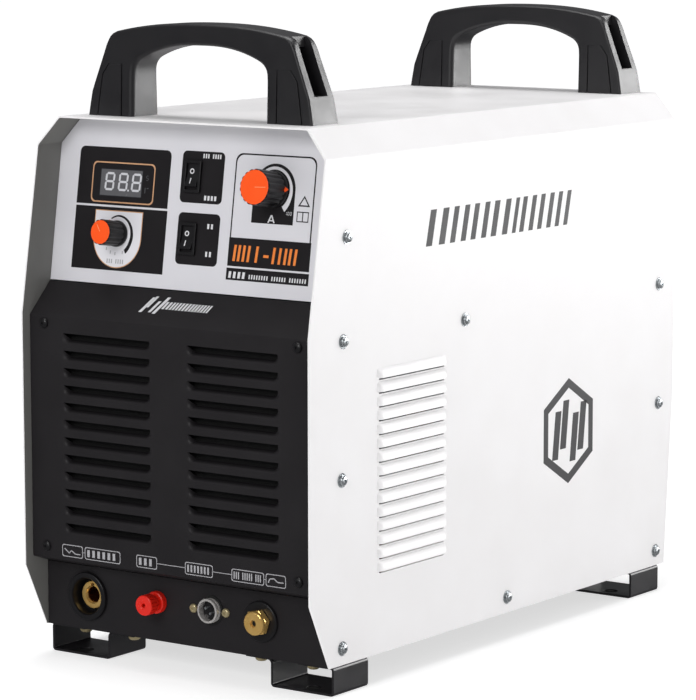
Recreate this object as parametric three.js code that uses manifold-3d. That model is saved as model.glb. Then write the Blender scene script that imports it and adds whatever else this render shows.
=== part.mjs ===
// Inverter plasma cutter: a sheet-metal power unit with its controls, lead sockets,
// carrying handles, feet, cooling fan and the main pieces inside it.
// Millimetres, +Z up, the front faces -Y and the unit stands on z = 0.
// Depths are measured from the foremost edge of the cover, and the finished model is
// shifted so that its origin is the middle of the footprint.

import * as THREE from 'three';
import { ConvexGeometry } from 'three/addons/geometries/ConvexGeometry.js';
import { mergeVertices } from 'three/addons/utils/BufferGeometryUtils.js';
import Module from 'manifold-3d';

const wasm = await Module();
wasm.setup();

// ---------------------------------------------------------------- driving dimensions

const GAP = 0.3; // clearance between pieces that touch
const SHEET = 1.5; // cover and panel sheet
const HALF_WIDTH = 140;
const COVER_DEPTH = 531;
const BODY_FLOOR = 23; // underside of the body, on top of the feet
const SHOULDER = 407; // where the side wall turns into the chamfer
const ROOF = 429.5;
const CHAMFER_RUN = 19.5;
const LOWER_KINK = 75; // the cover's front edge is upright between these two heights
const UPPER_KINK = 276;
const FRONT_LEAN = 0.168; // backward slope of the front edge above the upper kink
const LOWER_SETBACK = 24.8;
const REAR_KINK = 170.5;
const REAR_SETBACK = 12;

const SIDE_LOUVRE = { count: 15, firstLip: 237, pitch: 10.68, front: 87, back: 181, reach: 3.5 };
const FRONT_LOUVRE = { rows: 12, firstTop: 261.5, pitch: 13.7, height: 8.5, centre: 61.5, half: 45 };

const PANEL_FOOT = { y: 33.8, z: 299.1 }; // lower front edge of the control panel
const PANEL_TILT = Math.atan(0.15);
const LOUVRE_FACE = 8.5; // depth of the louvre panel's front face
const CONNECTOR_FACE = 26;
const REAR_FACE = 517.5; // outer face of the rear panel
const REAR_REACH = 28; // how far the air inlet stands out behind it
const INNER_WIDTH = HALF_WIDTH - SHEET - GAP;

const CURRENT_KNOB = { x: 73.8, s: 82.2, radius: 14.2, reach: 25 };
const GAS_KNOB = { x: -73.9, s: 39.9, radius: 10.4, reach: 21.7 };
const DISPLAY = { x: -74.6, s: 79.6, width: 42.7, height: 21.3 };
const SWITCHES = [
  { name: 'gas_test', x: -4, s: 88 },
  { name: 'trigger_mode', x: -4, s: 40 },
];
const ROCKER_TRAVEL = THREE.MathUtils.degToRad(11); // each way from level

const EARTH_SOCKET = { x: -96.2, z: 50.5 };
const PILOT_POST = { x: -25.7, z: 54.4 };
const CONTROL_SOCKET = { x: 26.6, z: 54.3 };
const TORCH_FITTING = { x: 75, z: 51.5 };

const HANDLE = { foot: 108.7, inner: 64.5, height: 73.7, arch: 56.7, depth: 34, fronts: [47.5, 491.5] };
const FOOT = { outer: 139, inner: 79.5, length: 45, sheet: 2, fronts: [31.5, 466], screwY: 10.5 };

const FAN = { z: 258, frame: 86, duct: 82, tip: 79.3, hub: 32, depth: 38 };
const BREAKER = { x: 92, z: 386 };
const AIR_INLET = { x: -92, z: 92 };
const CABLE_GLAND = { x: 88, z: 92 };
const EARTH_STUD = { x: 0, z: 62 };

// ---------------------------------------------------------------- materials

function finish(color, roughness, metalness) {
  return new THREE.MeshStandardMaterial({ color, roughness, metalness });
}

const MATERIALS = {
  whiteCoat: finish('#eeeeee', 0.55, 0),
  blackCoat: finish('#2a282a', 0.6, 0),
  silverPanel: finish('#c9cad0', 0.4, 0.6),
  blackPlastic: finish('#1b1a1c', 0.55, 0),
  handlePlastic: finish('#1a191b', 0.5, 0),
  orangePlastic: finish('#f45a1e', 0.45, 0),
  redPlastic: finish('#d81418', 0.3, 0),
  smokedLens: finish('#3c3e42', 0.15, 0),
  zinc: finish('#b9bcc2', 0.35, 0.9),
  brass: finish('#d9ae5c', 0.3, 1),
  steel: finish('#8f9297', 0.4, 0.9),
  aluminium: finish('#a9adb2', 0.45, 0.9),
  circuit: finish('#1f5a34', 0.5, 0),
  ferrite: finish('#35332f', 0.7, 0),
  copper: finish('#b4622d', 0.4, 0.9),
  hose: finish('#2b4f8c', 0.5, 0),
  sleeve: finish('#22303f', 0.5, 0),
};

// ---------------------------------------------------------------- solids

/** Turns a closed three.js geometry into a solid that can be joined and cut. */
function solid(geometry) {
  const bare = geometry.clone();
  bare.deleteAttribute('normal');
  bare.deleteAttribute('uv');
  const merged = mergeVertices(bare, 1e-4);
  const index = merged.index.array;
  const triangles = [];
  for (let i = 0; i < index.length; i += 3) {
    const [a, b, c] = [index[i], index[i + 1], index[i + 2]];
    if (a !== b && b !== c && a !== c) triangles.push(a, b, c);
  }
  const vertProperties = Float32Array.from(merged.attributes.position.array);
  const mesh = new wasm.Mesh({ numProp: 3, vertProperties, triVerts: Uint32Array.from(triangles) });
  return new wasm.Manifold(mesh);
}

function geometryOf(body) {
  const mesh = body.getMesh();
  const geometry = new THREE.BufferGeometry();
  geometry.setAttribute('position', new THREE.BufferAttribute(mesh.vertProperties, 3));
  geometry.setIndex(new THREE.BufferAttribute(mesh.triVerts, 1));
  geometry.computeVertexNormals();
  return geometry;
}

function join(first, ...rest) {
  return rest.reduce((whole, piece) => whole.add(piece), first);
}

function cut(first, ...tools) {
  return tools.reduce((whole, tool) => whole.subtract(tool), first);
}

function box(x0, x1, y0, y1, z0, z1) {
  const geometry = new THREE.BoxGeometry(x1 - x0, y1 - y0, z1 - z0);
  geometry.translate((x0 + x1) / 2, (y0 + y1) / 2, (z0 + z1) / 2);
  return solid(geometry);
}

function extruded(points, length) {
  const shape = new THREE.Shape(points.map(([u, v]) => new THREE.Vector2(u, v)));
  return new THREE.ExtrudeGeometry(shape, { depth: length, bevelEnabled: false, curveSegments: 8 });
}

/** A prism along X from an outline of [y, z] points. */
function prismX(points, x0, x1) {
  const turn = new THREE.Matrix4().set(0, 0, 1, x0, 1, 0, 0, 0, 0, 1, 0, 0, 0, 0, 0, 1);
  return solid(extruded(points, x1 - x0).applyMatrix4(turn));
}

/** A prism along Y from an outline of [x, z] points. */
function prismY(points, y0, y1) {
  const turn = new THREE.Matrix4().set(1, 0, 0, 0, 0, 0, -1, y1, 0, 1, 0, 0, 0, 0, 0, 1);
  return solid(extruded(points, y1 - y0).applyMatrix4(turn));
}

/** A cylinder along Y; x and z are its axis. */
function rodY(x, z, radius, y0, y1, sides = 32) {
  const geometry = new THREE.CylinderGeometry(radius, radius, y1 - y0, sides);
  geometry.translate(x, (y0 + y1) / 2, z);
  return solid(geometry);
}

function rodZ(x, y, radius, z0, z1, sides = 24) {
  const geometry = new THREE.CylinderGeometry(radius, radius, z1 - z0, sides);
  geometry.rotateX(Math.PI / 2);
  geometry.translate(x, y, (z0 + z1) / 2);
  return solid(geometry);
}

/** A turned piece with its axis along Y, from [radius, y] points that start and end on the axis. */
function turnedY(points, sides = 32) {
  const profile = points.map(([radius, y]) => new THREE.Vector2(radius, y));
  return solid(new THREE.LatheGeometry(profile, sides));
}

function hull(points) {
  return solid(new ConvexGeometry(points.map((point) => new THREE.Vector3(...point))));
}

/** Moves an open line of 2D points sideways; a positive distance goes to the left of its direction. */
function offsetLine(line, distance) {
  const normals = line.slice(1).map(([u, v], i) => {
    const [u0, v0] = line[i];
    const length = Math.hypot(u - u0, v - v0);
    return [-(v - v0) / length, (u - u0) / length];
  });
  return line.map(([u, v], i) => {
    const a = normals[Math.max(i - 1, 0)];
    const b = normals[Math.min(i, normals.length - 1)];
    const scale = distance / (1 + a[0] * b[0] + a[1] * b[1]);
    return [u + (a[0] + b[0]) * scale, v + (a[1] + b[1]) * scale];
  });
}

/** The outline of sheet metal folded along a line. */
function foldedSheet(line, thickness) {
  return [...line, ...offsetLine(line, thickness).reverse()];
}

function regularPolygon(x, z, radius, sides, turn = 0) {
  return Array.from({ length: sides }, (_, i) => {
    const angle = turn + (2 * Math.PI * i) / sides;
    return [x + radius * Math.cos(angle), z + radius * Math.sin(angle)];
  });
}

/** The outline of a fluted knob. */
function flutedOutline(x, z, radius, flutes, flute) {
  return Array.from({ length: flutes * 2 }, (_, i) => {
    const angle = (Math.PI * i) / flutes;
    const r = i % 2 === 0 ? radius : radius - flute;
    return [x + r * Math.cos(angle), z + r * Math.sin(angle)];
  });
}

function mirrored(body) {
  return body.mirror([1, 0, 0]);
}

// ---------------------------------------------------------------- the scene graph

const machine = new THREE.Group();
machine.position.y = -(REAR_FACE + REAR_REACH) / 2;

const controlFace = new THREE.Group(); // x across, y into the panel, z up along the panel
controlFace.position.set(0, PANEL_FOOT.y, PANEL_FOOT.z);
controlFace.rotation.x = -PANEL_TILT;
machine.add(controlFace);

function place(name, body, material, parent = machine) {
  const mesh = new THREE.Mesh(geometryOf(body), material);
  mesh.name = name;
  parent.add(mesh);
}

// ---------------------------------------------------------------- sheet-metal body

/** The cover's cross-section line, from the left foot over the roof to the right foot. */
const COVER_LINE = [
  [-HALF_WIDTH, BODY_FLOOR],
  [-HALF_WIDTH, SHOULDER],
  [-HALF_WIDTH + CHAMFER_RUN, ROOF],
  [HALF_WIDTH - CHAMFER_RUN, ROOF],
  [HALF_WIDTH, SHOULDER],
  [HALF_WIDTH, BODY_FLOOR],
];

function sideLouvreShell(lip) {
  const { front, back, reach } = SIDE_LOUVRE;
  const top = lip + 8;
  const root = HALF_WIDTH - SHEET + 0.4;
  return hull([
    [root, front, lip], [root, back, lip], [root, front + 3, top], [root, back - 3, top],
    [HALF_WIDTH + reach, front + 6, lip], [HALF_WIDTH + reach, back - 6, lip],
  ]);
}

function sideLouvrePocket(lip) {
  const { front, back, reach } = SIDE_LOUVRE;
  const inside = HALF_WIDTH - SHEET - 1;
  const crown = HALF_WIDTH + reach - 1.1;
  const slot = box(inside, HALF_WIDTH + 0.2, front + 3, back - 3, lip - 2.1, lip - 0.5);
  const pocket = hull([
    [inside, front + 3, lip - 1], [inside, back - 3, lip - 1],
    [inside, front + 5, lip + 6], [inside, back - 5, lip + 6],
    [crown, front + 7, lip - 1], [crown, back - 7, lip - 1],
  ]);
  return slot.add(pocket);
}

function wrapCover() {
  const highAbove = ROOF + 10;
  const sideOutline = [
    [LOWER_SETBACK, BODY_FLOOR],
    [COVER_DEPTH - REAR_SETBACK, BODY_FLOOR],
    [COVER_DEPTH, REAR_KINK],
    [COVER_DEPTH, highAbove],
    [(highAbove - UPPER_KINK) * FRONT_LEAN, highAbove],
    [0, UPPER_KINK],
    [0, LOWER_KINK],
  ];
  let cover = prismY(foldedSheet(COVER_LINE, -SHEET), 0, COVER_DEPTH);
  cover = cover.intersect(prismX(sideOutline, -HALF_WIDTH - 5, HALF_WIDTH + 5));
  for (let i = 0; i < SIDE_LOUVRE.count; i += 1) {
    const lip = SIDE_LOUVRE.firstLip - i * SIDE_LOUVRE.pitch;
    const shell = sideLouvreShell(lip);
    cover = join(cover, shell, mirrored(shell));
  }
  for (let i = 0; i < SIDE_LOUVRE.count; i += 1) {
    const pocket = sideLouvrePocket(SIDE_LOUVRE.firstLip - i * SIDE_LOUVRE.pitch);
    cover = cut(cover, pocket, mirrored(pocket));
  }
  return cover;
}

function basePan() {
  const floor = BODY_FLOOR + 0.2;
  const profile = [
    [-INNER_WIDTH, floor + 36],
    [-INNER_WIDTH, floor],
    [INNER_WIDTH, floor],
    [INNER_WIDTH, floor + 36],
  ];
  return prismY(foldedSheet(profile, SHEET), CONNECTOR_FACE + SHEET + GAP, REAR_FACE - SHEET - GAP);
}

/** The cover's cross-section shrunk by a clearance, closed along the height given as its foot. */
function innerOutline(clearance, foot) {
  const line = offsetLine(COVER_LINE, -(SHEET + clearance));
  return line.map(([x, z], i) => [x, i === 0 || i === line.length - 1 ? foot : z]);
}

function rearPanel() {
  const outline = innerOutline(GAP, BODY_FLOOR + 0.4);
  return cut(
    prismY(outline, REAR_FACE - SHEET, REAR_FACE),
    rodY(0, FAN.z, FAN.duct - 1, REAR_FACE - 5, REAR_FACE + 5, 40),
    box(BREAKER.x - 24, BREAKER.x + 24, REAR_FACE - 5, REAR_FACE + 5, BREAKER.z - 19, BREAKER.z + 19),
    rodY(AIR_INLET.x, AIR_INLET.z, 7.4, REAR_FACE - 5, REAR_FACE + 5, 16),
    rodY(CABLE_GLAND.x, CABLE_GLAND.z, 12.4, REAR_FACE - 5, REAR_FACE + 5, 18),
    rodY(EARTH_STUD.x, EARTH_STUD.z, 4.4, REAR_FACE - 5, REAR_FACE + 5, 12),
  );
}

function controlPanel() {
  const cosine = Math.cos(PANEL_TILT);
  const clearance = 0.5;
  const outline = innerOutline(clearance, PANEL_FOOT.z).map(([x, z]) => [x, (z - PANEL_FOOT.z) / cosine]);
  const { x, s, width, height } = DISPLAY;
  const windows = SWITCHES.map((item) => box(item.x - 6.9, item.x + 6.9, -2, 4, item.s - 11.2, item.s + 11.2));
  return cut(
    prismY(outline, 0, SHEET),
    box(x - width / 2 - GAP, x + width / 2 + GAP, -2, 4, s - height / 2 - GAP, s + height / 2 + GAP),
    rodY(CURRENT_KNOB.x, CURRENT_KNOB.s, 5, -2, 4, 16),
    rodY(GAS_KNOB.x, GAS_KNOB.s, 5, -2, 4, 16),
    ...windows,
  );
}

/** Where the four fixing screws of the louvre panel sit. */
const PANEL_SCREWS = [[-123.5, 268], [123.5, 268], [-123.5, 90.5], [123.5, 90.5]];

function frontLouvreOpening(centre, top) {
  const { height, half } = FRONT_LOUVRE;
  const bottom = top - height;
  const outline = [
    [centre - half, bottom], [centre + half, bottom],
    [centre + half - 1.8, top], [centre - half + 1.8, top],
  ];
  return prismY(outline, LOUVRE_FACE - 2, LOUVRE_FACE + SHEET + 2);
}

function frontLouvreLip(centre, top) {
  const { height, half } = FRONT_LOUVRE;
  const bottom = top - height;
  const face = LOUVRE_FACE;
  const back = face + SHEET;
  const ends = [-1, 1];
  return hull(ends.flatMap((end) => [
    [centre + end * (half + 0.4), face, bottom - 1],
    [centre + end * (half + 0.4), back, bottom - 1],
    [centre + end * (half + 0.4), face, bottom],
    [centre + end * (half - 3), face + 5.5, bottom + 3.4],
    [centre + end * (half - 3), face + 6.4, bottom + 2.4],
  ]));
}

function louvrePanel() {
  const line = [
    [PANEL_FOOT.y - 0.6, PANEL_FOOT.z - 0.7],
    [LOUVRE_FACE, UPPER_KINK - 2],
    [LOUVRE_FACE, LOWER_KINK + 6],
    [CONNECTOR_FACE, LOWER_KINK],
  ];
  let panel = prismX(foldedSheet(line, SHEET), -INNER_WIDTH, INNER_WIDTH);
  const { rows, firstTop, pitch, centre } = FRONT_LOUVRE;
  for (let row = 0; row < rows; row += 1) {
    for (const side of [-centre, centre]) {
      const top = firstTop - row * pitch;
      panel = join(cut(panel, frontLouvreOpening(side, top)), frontLouvreLip(side, top));
    }
  }
  const holes = PANEL_SCREWS.map(([x, z]) => rodY(x, z, 2.4, LOUVRE_FACE - 2, LOUVRE_FACE + 4, 12));
  return cut(panel, ...holes);
}

function connectorPanel() {
  const face = CONNECTOR_FACE;
  const hole = ({ x, z }, radius) => rodY(x, z, radius, face - 2, face + 4, 20);
  return cut(
    box(-INNER_WIDTH, INNER_WIDTH, face, face + SHEET, BODY_FLOOR + 0.2, LOWER_KINK - 0.5),
    hole(EARTH_SOCKET, 15.6),
    hole(PILOT_POST, 4.4),
    hole(CONTROL_SOCKET, 8.4),
    hole(TORCH_FITTING, 8.4),
  );
}

function panelScrew([x, z]) {
  const face = LOUVRE_FACE - GAP;
  const profile = [[0, -2.6], [2.4, -2.3], [3.8, -1.2], [4.1, 0], [2, 0], [2, 9], [0, 9]];
  const screw = turnedY(profile, 14);
  const slot = [box(-2, 2, -4, -1.6, -0.45, 0.45), box(-0.45, 0.45, -4, -1.6, -2, 2)];
  return cut(screw, ...slot).translate([x, face, z]);
}

function buildBody() {
  place('wrap_cover', wrapCover(), MATERIALS.whiteCoat);
  place('base_pan', basePan(), MATERIALS.blackCoat);
  place('rear_panel', rearPanel(), MATERIALS.blackCoat);
  place('control_panel', controlPanel(), MATERIALS.silverPanel, controlFace);
  place('louvre_panel', louvrePanel(), MATERIALS.blackCoat);
  place('connector_panel', connectorPanel(), MATERIALS.blackCoat);
  PANEL_SCREWS.forEach((spot, i) => {
    place(`louvre_panel_screw_${i + 1}`, panelScrew(spot), MATERIALS.blackPlastic);
  });
}

// ---------------------------------------------------------------- carrying handles

/** Points of half an arch, as [outer, inner] pairs of [x, height] from the foot to the crown. */
function archStations() {
  const { foot, inner, height, arch } = HANDLE;
  const leg = [
    [[foot, 0], [inner, 0]],
    [[foot - 3.3, 19], [inner, 17]],
    [[foot - 10.2, 37], [inner - 0.1, 32]],
    [[foot - 17.1, 55], [inner - 1.3, 39.4]],
    [[foot - 18.7, 59.2], [inner - 2.5, 41.6]],
    [[foot - 22, 64], [inner - 6.6, 45.2]],
    [[foot - 26, 66], [inner - 10, 47]],
  ];
  const [outerEnd, innerEnd] = leg[leg.length - 1];
  const steps = 7;
  const crown = Array.from({ length: steps }, (_, i) => {
    const share = 1 - (i + 1) / steps;
    return [
      [outerEnd[0] * share, outerEnd[1] + (height - outerEnd[1]) * (1 - share ** 2.3)],
      [innerEnd[0] * share, innerEnd[1] + (arch - innerEnd[1]) * (1 - share ** 2.5)],
    ];
  });
  return [...leg, ...crown];
}

/** Eight corners of the handle's section between an outer and an inner point. */
function handleSection([outer, inner], halfDepth) {
  const along = [inner[0] - outer[0], inner[1] - outer[1]];
  const length = Math.hypot(...along);
  const outerBevel = Math.min(3, Math.max(2, (outer[1] - 50) * 0.2));
  const innerBevel = 4;
  const at = (distance, y) => [
    outer[0] + (along[0] * distance) / length, y, outer[1] + (along[1] * distance) / length,
  ];
  return [
    at(0, halfDepth - outerBevel), at(0, outerBevel - halfDepth),
    at(outerBevel, -halfDepth), at(length - innerBevel, -halfDepth),
    at(length, innerBevel - halfDepth), at(length, halfDepth - innerBevel),
    at(length - innerBevel, halfDepth), at(outerBevel, halfDepth),
  ];
}

function handle(front) {
  const half = archStations();
  const left = half.slice(0, -1).reverse().map((pair) => pair.map(([x, z]) => [-x, z]));
  const stations = [...half, ...left];
  const rings = stations.map((pair) => {
    const halfDepth = HANDLE.depth / 2 - 2.2 * (pair[0][1] / HANDLE.height);
    return handleSection(pair, halfDepth);
  });
  const corners = rings[0].length;
  const positions = rings.flat(2);
  const index = [];
  for (let r = 0; r + 1 < rings.length; r += 1) {
    for (let c = 0; c < corners; c += 1) {
      const a = r * corners + c;
      const b = r * corners + ((c + 1) % corners);
      index.push(a, b + corners, b, a, a + corners, b + corners);
    }
  }
  const last = (rings.length - 1) * corners;
  for (let c = 1; c + 1 < corners; c += 1) {
    index.push(0, c, c + 1, last, last + c + 1, last + c);
  }
  const geometry = new THREE.BufferGeometry();
  geometry.setAttribute('position', new THREE.Float32BufferAttribute(positions, 3));
  geometry.setIndex(index);
  const slotHalf = 8.4;
  const pocket = [[125, 21], [82, 21], [77, 57], [83.6, 57.5], [83.6, 90], [125, 90]];
  const slot = prismY(pocket, -slotHalf, slotHalf);
  const body = cut(solid(geometry), slot, mirrored(slot));
  return body.translate([0, front + HANDLE.depth / 2, ROOF + GAP]);
}

function buildHandles() {
  place('front_handle', handle(HANDLE.fronts[0]), MATERIALS.handlePlastic);
  place('rear_handle', handle(HANDLE.fronts[1]), MATERIALS.handlePlastic);
}

// ---------------------------------------------------------------- feet

function foot(front) {
  const { outer, inner, length, sheet, screwY } = FOOT;
  const top = BODY_FLOOR - GAP + 0.2;
  const channel = [
    [inner - 24, top - sheet], [inner, top - sheet], [inner, 3.5], [inner + 3.5, 0],
    [outer - 3.5, 0], [outer, 3.5], [outer, top], [outer - 34, top],
  ];
  const back = front + length;
  const screwX = { inner: 63, outer: 112.5 };
  const y = front + screwY;
  return cut(
    prismY(foldedSheet(channel, sheet), front, back),
    rodZ(screwX.inner, y, 2.6, top - 4, top + 2, 12),
    rodZ(screwX.outer, y, 2.6, top - 4, top + 2, 12),
    rodZ(screwX.outer, y, 6, -1, 4, 16),
  );
}

function buildFeet() {
  const ends = [['front', FOOT.fronts[0]], ['rear', FOOT.fronts[1]]];
  for (const [end, front] of ends) {
    const right = foot(front);
    place(`foot_${end}_right`, right, MATERIALS.blackCoat);
    place(`foot_${end}_left`, mirrored(right), MATERIALS.blackCoat);
  }
}

// ---------------------------------------------------------------- control panel fittings

function knobBody({ x, s, radius, reach }) {
  const capDepth = 2.2;
  const skirt = rodY(x, s, radius, -4.2, -1, 28);
  const grip = prismY(flutedOutline(x, s, radius - 0.3, 16, 0.7), -(reach - capDepth), -4.2);
  return cut(join(skirt, grip), rodY(x, s, 3 + GAP, -12, 0, 14));
}

function knobCap({ x, s, radius, reach }) {
  const capDepth = 2.2;
  const face = -reach;
  const back = -(reach - capDepth) - GAP;
  return turnedY([[0, face], [radius - 1.4, face], [radius - 0.5, face + 0.9], [radius - 0.5, back], [0, back]], 28)
    .translate([x, 0, s]);
}

function potentiometer({ x, s }) {
  const bushing = rodY(x, s, 4.6, -0.6, 3, 16);
  const can = rodY(x, s, 12, 1.9, 12, 20);
  return cut(join(bushing, can), rodY(x, s, 3 + GAP, -2, 11, 14));
}

function shaft({ x, s }) {
  return rodY(x, s, 3, -11.5, 10.5, 14);
}

/** A rocker switch's housing: a bezel in front of the panel and a hollow body behind it. */
function switchFrame({ x, s }) {
  return cut(
    join(
      box(x - 8.3, x + 8.3, -2.5, -GAP, s - 12.5, s + 12.5),
      box(x - 6.6, x + 6.6, -1, 16, s - 10.9, s + 10.9),
    ),
    box(x - 5.9, x + 5.9, -4, 11, s - 10.2, s + 10.2),
  );
}

/** A rocker level in its own frame, with its pivot at y = 3. */
const ROCKER_OUTLINE = [[-2.26, 8.8], [-1, 0], [-2.26, -8.8], [2.5, -8.4], [5, -3], [5, 3], [2.5, 8.4]];
const ROCKER_PIVOT = 3;

/** The rocker at rest, with its upper half pressed in. */
function rocker({ x, s }) {
  const cosine = Math.cos(ROCKER_TRAVEL);
  const sine = Math.sin(ROCKER_TRAVEL);
  const outline = ROCKER_OUTLINE.map(([y, z]) => {
    const dy = y - ROCKER_PIVOT;
    return [ROCKER_PIVOT + dy * cosine + z * sine, s - dy * sine + z * cosine];
  });
  return prismX(outline, x - 5.5, x + 5.5);
}

function buildControls() {
  const knobs = [['current', CURRENT_KNOB], ['gas_flow', GAS_KNOB]];
  for (const [name, spot] of knobs) {
    place(`${name}_knob`, knobBody(spot), MATERIALS.blackPlastic, controlFace);
    place(`${name}_knob_cap`, knobCap(spot), MATERIALS.orangePlastic, controlFace);
    place(`${name}_shaft`, shaft(spot), MATERIALS.steel, controlFace);
    place(`${name}_potentiometer`, potentiometer(spot), MATERIALS.steel, controlFace);
  }
  for (const item of SWITCHES) {
    place(`${item.name}_switch_frame`, switchFrame(item), MATERIALS.blackPlastic, controlFace);
    place(`${item.name}_rocker`, rocker(item), MATERIALS.blackPlastic, controlFace);
  }
  const { x, s, width, height } = DISPLAY;
  const lens = box(x - width / 2, x + width / 2, -0.4, 1.8, s - height / 2, s + height / 2);
  const module = box(x - 27, x + 27, 2.1, 13, s - 15, s + 15);
  place('display_lens', lens, MATERIALS.smokedLens, controlFace);
  place('display_module', module, MATERIALS.blackPlastic, controlFace);
  place('control_board', box(-112, 112, 22, 23.6, 6, 112), MATERIALS.circuit, controlFace);
}

// ---------------------------------------------------------------- lead connections

/** Moves a piece made round the Y axis, with y = 0 at the panel's face, to its place. */
function onConnectorPanel(body, { x, z }) {
  return body.translate([x, CONNECTOR_FACE, z]);
}

function earthSocketBody() {
  const shell = turnedY([
    [0, -3.5], [18.3, -3.5], [19.3, -2.6], [19.3, -GAP], [15.2, -GAP], [15.2, 30], [0, 30],
  ], 28);
  const well = turnedY([[0, -5], [14.2, -5], [14.2, 9], [11 + GAP, 9], [11 + GAP, 32], [0, 32]], 28);
  return cut(shell, well);
}

function earthSocketInsert() {
  const tube = turnedY([[0, 5], [10, 5], [11, 6], [11, 40], [6, 40], [6, 52], [0, 52]], 24);
  const bore = turnedY([[0, 3], [7.3, 3], [6.3, 6.5], [6.3, 34], [0, 34]], 20);
  const key = box(-1.6, 1.6, 3, 15, 5, 9.2);
  return cut(tube, bore, key);
}

function pilotPostBase() {
  return turnedY([
    [0, -5.4], [7.6, -5.4], [8.8, -4.2], [8.8, -GAP], [4, -GAP], [4, 14], [0, 14],
  ], 20);
}

function pilotPostCap() {
  const cap = turnedY([[0, -18.8], [7, -18.8], [8.1, -17.4], [8.1, -10.4], [6.4, -8.6], [6.4, -5.7], [0, -5.7]], 20);
  return cut(cap, rodY(0, 0, 1.6, -22, -12, 10));
}

function controlSocketShell() {
  const shell = turnedY([
    [0, -5.9], [8.6, -5.9], [9.75, -4.9], [9.75, -GAP], [8, -GAP], [8, 14], [0, 14],
  ], 24);
  return cut(shell, rodY(0, 0, 7.3 + GAP, -8, 3, 20));
}

function controlSocketInsert() {
  const pins = [-2.6, 2.6].map((x) => rodY(x, 0, 1, -4.2, 0, 8));
  return join(rodY(0, 0, 7.3, -1.5, 2.7, 20), ...pins);
}

function torchFlange() {
  const flange = turnedY([[0, -2.6], [14.9, -2.6], [15.9, -1.6], [15.9, -GAP], [8, -GAP], [8, 10], [0, 10]], 24);
  return cut(flange, rodY(0, 0, 6 + GAP, -5, 12, 16));
}

function torchFitting() {
  const nose = turnedY([[0, -11], [7.6, -11], [9.2, -9.4], [9.2, -6.4], [6, -6.4], [6, 26], [0, 26]], 24);
  const hex = prismY(regularPolygon(0, 0, 10.4, 6, Math.PI / 6), -6.6, -2.6 - GAP);
  return cut(join(nose, hex), turnedY([[0, -13], [4.2, -13], [2, -9], [2, 20], [0, 20]], 12));
}

function buildConnectors() {
  const pieces = [
    ['earth_socket_body', earthSocketBody(), MATERIALS.blackPlastic, EARTH_SOCKET],
    ['earth_socket_insert', earthSocketInsert(), MATERIALS.brass, EARTH_SOCKET],
    ['pilot_post_base', pilotPostBase(), MATERIALS.redPlastic, PILOT_POST],
    ['pilot_post_cap', pilotPostCap(), MATERIALS.redPlastic, PILOT_POST],
    ['control_socket_shell', controlSocketShell(), MATERIALS.zinc, CONTROL_SOCKET],
    ['control_socket_insert', controlSocketInsert(), MATERIALS.blackPlastic, CONTROL_SOCKET],
    ['torch_flange', torchFlange(), MATERIALS.blackPlastic, TORCH_FITTING],
    ['torch_fitting', torchFitting(), MATERIALS.brass, TORCH_FITTING],
  ];
  for (const [name, body, material, spot] of pieces) {
    place(name, onConnectorPanel(body, spot), material);
  }
}

// ---------------------------------------------------------------- rear panel fittings

function fanHousing() {
  const { z, frame, duct, depth } = FAN;
  const back = REAR_FACE - SHEET - GAP;
  const front = back - depth;
  const shell = cut(
    box(-frame, frame, front, back, z - frame, z + frame),
    rodY(0, z, duct, front - 2, back + 2, 40),
  );
  const motor = rodY(0, z, 26, front, front + 6, 20);
  const arms = [
    box(-duct - 1, duct + 1, front, front + 4, z - 4, z + 4),
    box(-4, 4, front, front + 4, z - duct - 1, z + duct + 1),
  ];
  return join(shell, motor, ...arms);
}

function fanRotor() {
  const { z, tip, hub, depth } = FAN;
  const back = REAR_FACE - SHEET - GAP - 4;
  const front = back - depth + 12;
  const blades = 7;
  let rotor = rodY(0, 0, hub, front, back, 28);
  for (let i = 0; i < blades; i += 1) {
    const span = (radius, angle, y) => [radius * Math.cos(angle), y, radius * Math.sin(angle)];
    const start = (2 * Math.PI * i) / blades;
    const blade = hull([
      span(hub - 2, start, front + 2), span(hub - 2, start + 0.08, front + 2),
      span(hub - 2, start + 0.62, back - 2), span(hub - 2, start + 0.7, back - 2),
      span(tip, start + 0.1, front + 5), span(tip, start + 0.13, front + 5),
      span(tip, start + 0.52, back - 4), span(tip, start + 0.55, back - 4),
    ]);
    rotor = join(rotor, blade);
  }
  return rotor.translate([0, 0, z]);
}

/** A pressed-wire finger guard: flat rings on four spokes. */
function fanGuard() {
  const front = REAR_FACE + GAP;
  const back = front + 3;
  const ring = (radius) => cut(
    rodY(0, FAN.z, radius, front, back, 28),
    rodY(0, FAN.z, radius - 3, front - 1, back + 1, 28),
  );
  const rings = [84, 58, 32].map(ring);
  const spoke = box(-84, 84, front, back, -1.6, 1.6);
  const spokes = [45, 135].map((turn) => spoke.rotate([0, turn, 0]).translate([0, 0, FAN.z]));
  return join(...rings, ...spokes);
}

function breakerBody() {
  const { x, z } = BREAKER;
  return cut(
    join(
      box(x - 26, x + 26, REAR_FACE - 52, REAR_FACE - SHEET - GAP, z - 26, z + 26),
      box(x - 23.6, x + 23.6, REAR_FACE - 4, REAR_FACE + 4, z - 18.6, z + 18.6),
    ),
    box(x - 10, x + 10, REAR_FACE - 12, REAR_FACE + 6, z - 14, z + 14),
  );
}

/** The breaker's lever at rest, thrown down; its pivot lies across the well at y = REAR_FACE - 3. */
function breakerLever() {
  const { x, z } = BREAKER;
  const outline = [[-6, -5], [5, -6.5], [16.5, -10.5], [17.5, -5.5], [6, 0], [3, 5.5], [-6, 5]];
  return prismX(outline.map(([y, dz]) => [REAR_FACE - 3 + y, z + dz]), x - 9, x + 9);
}

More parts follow.
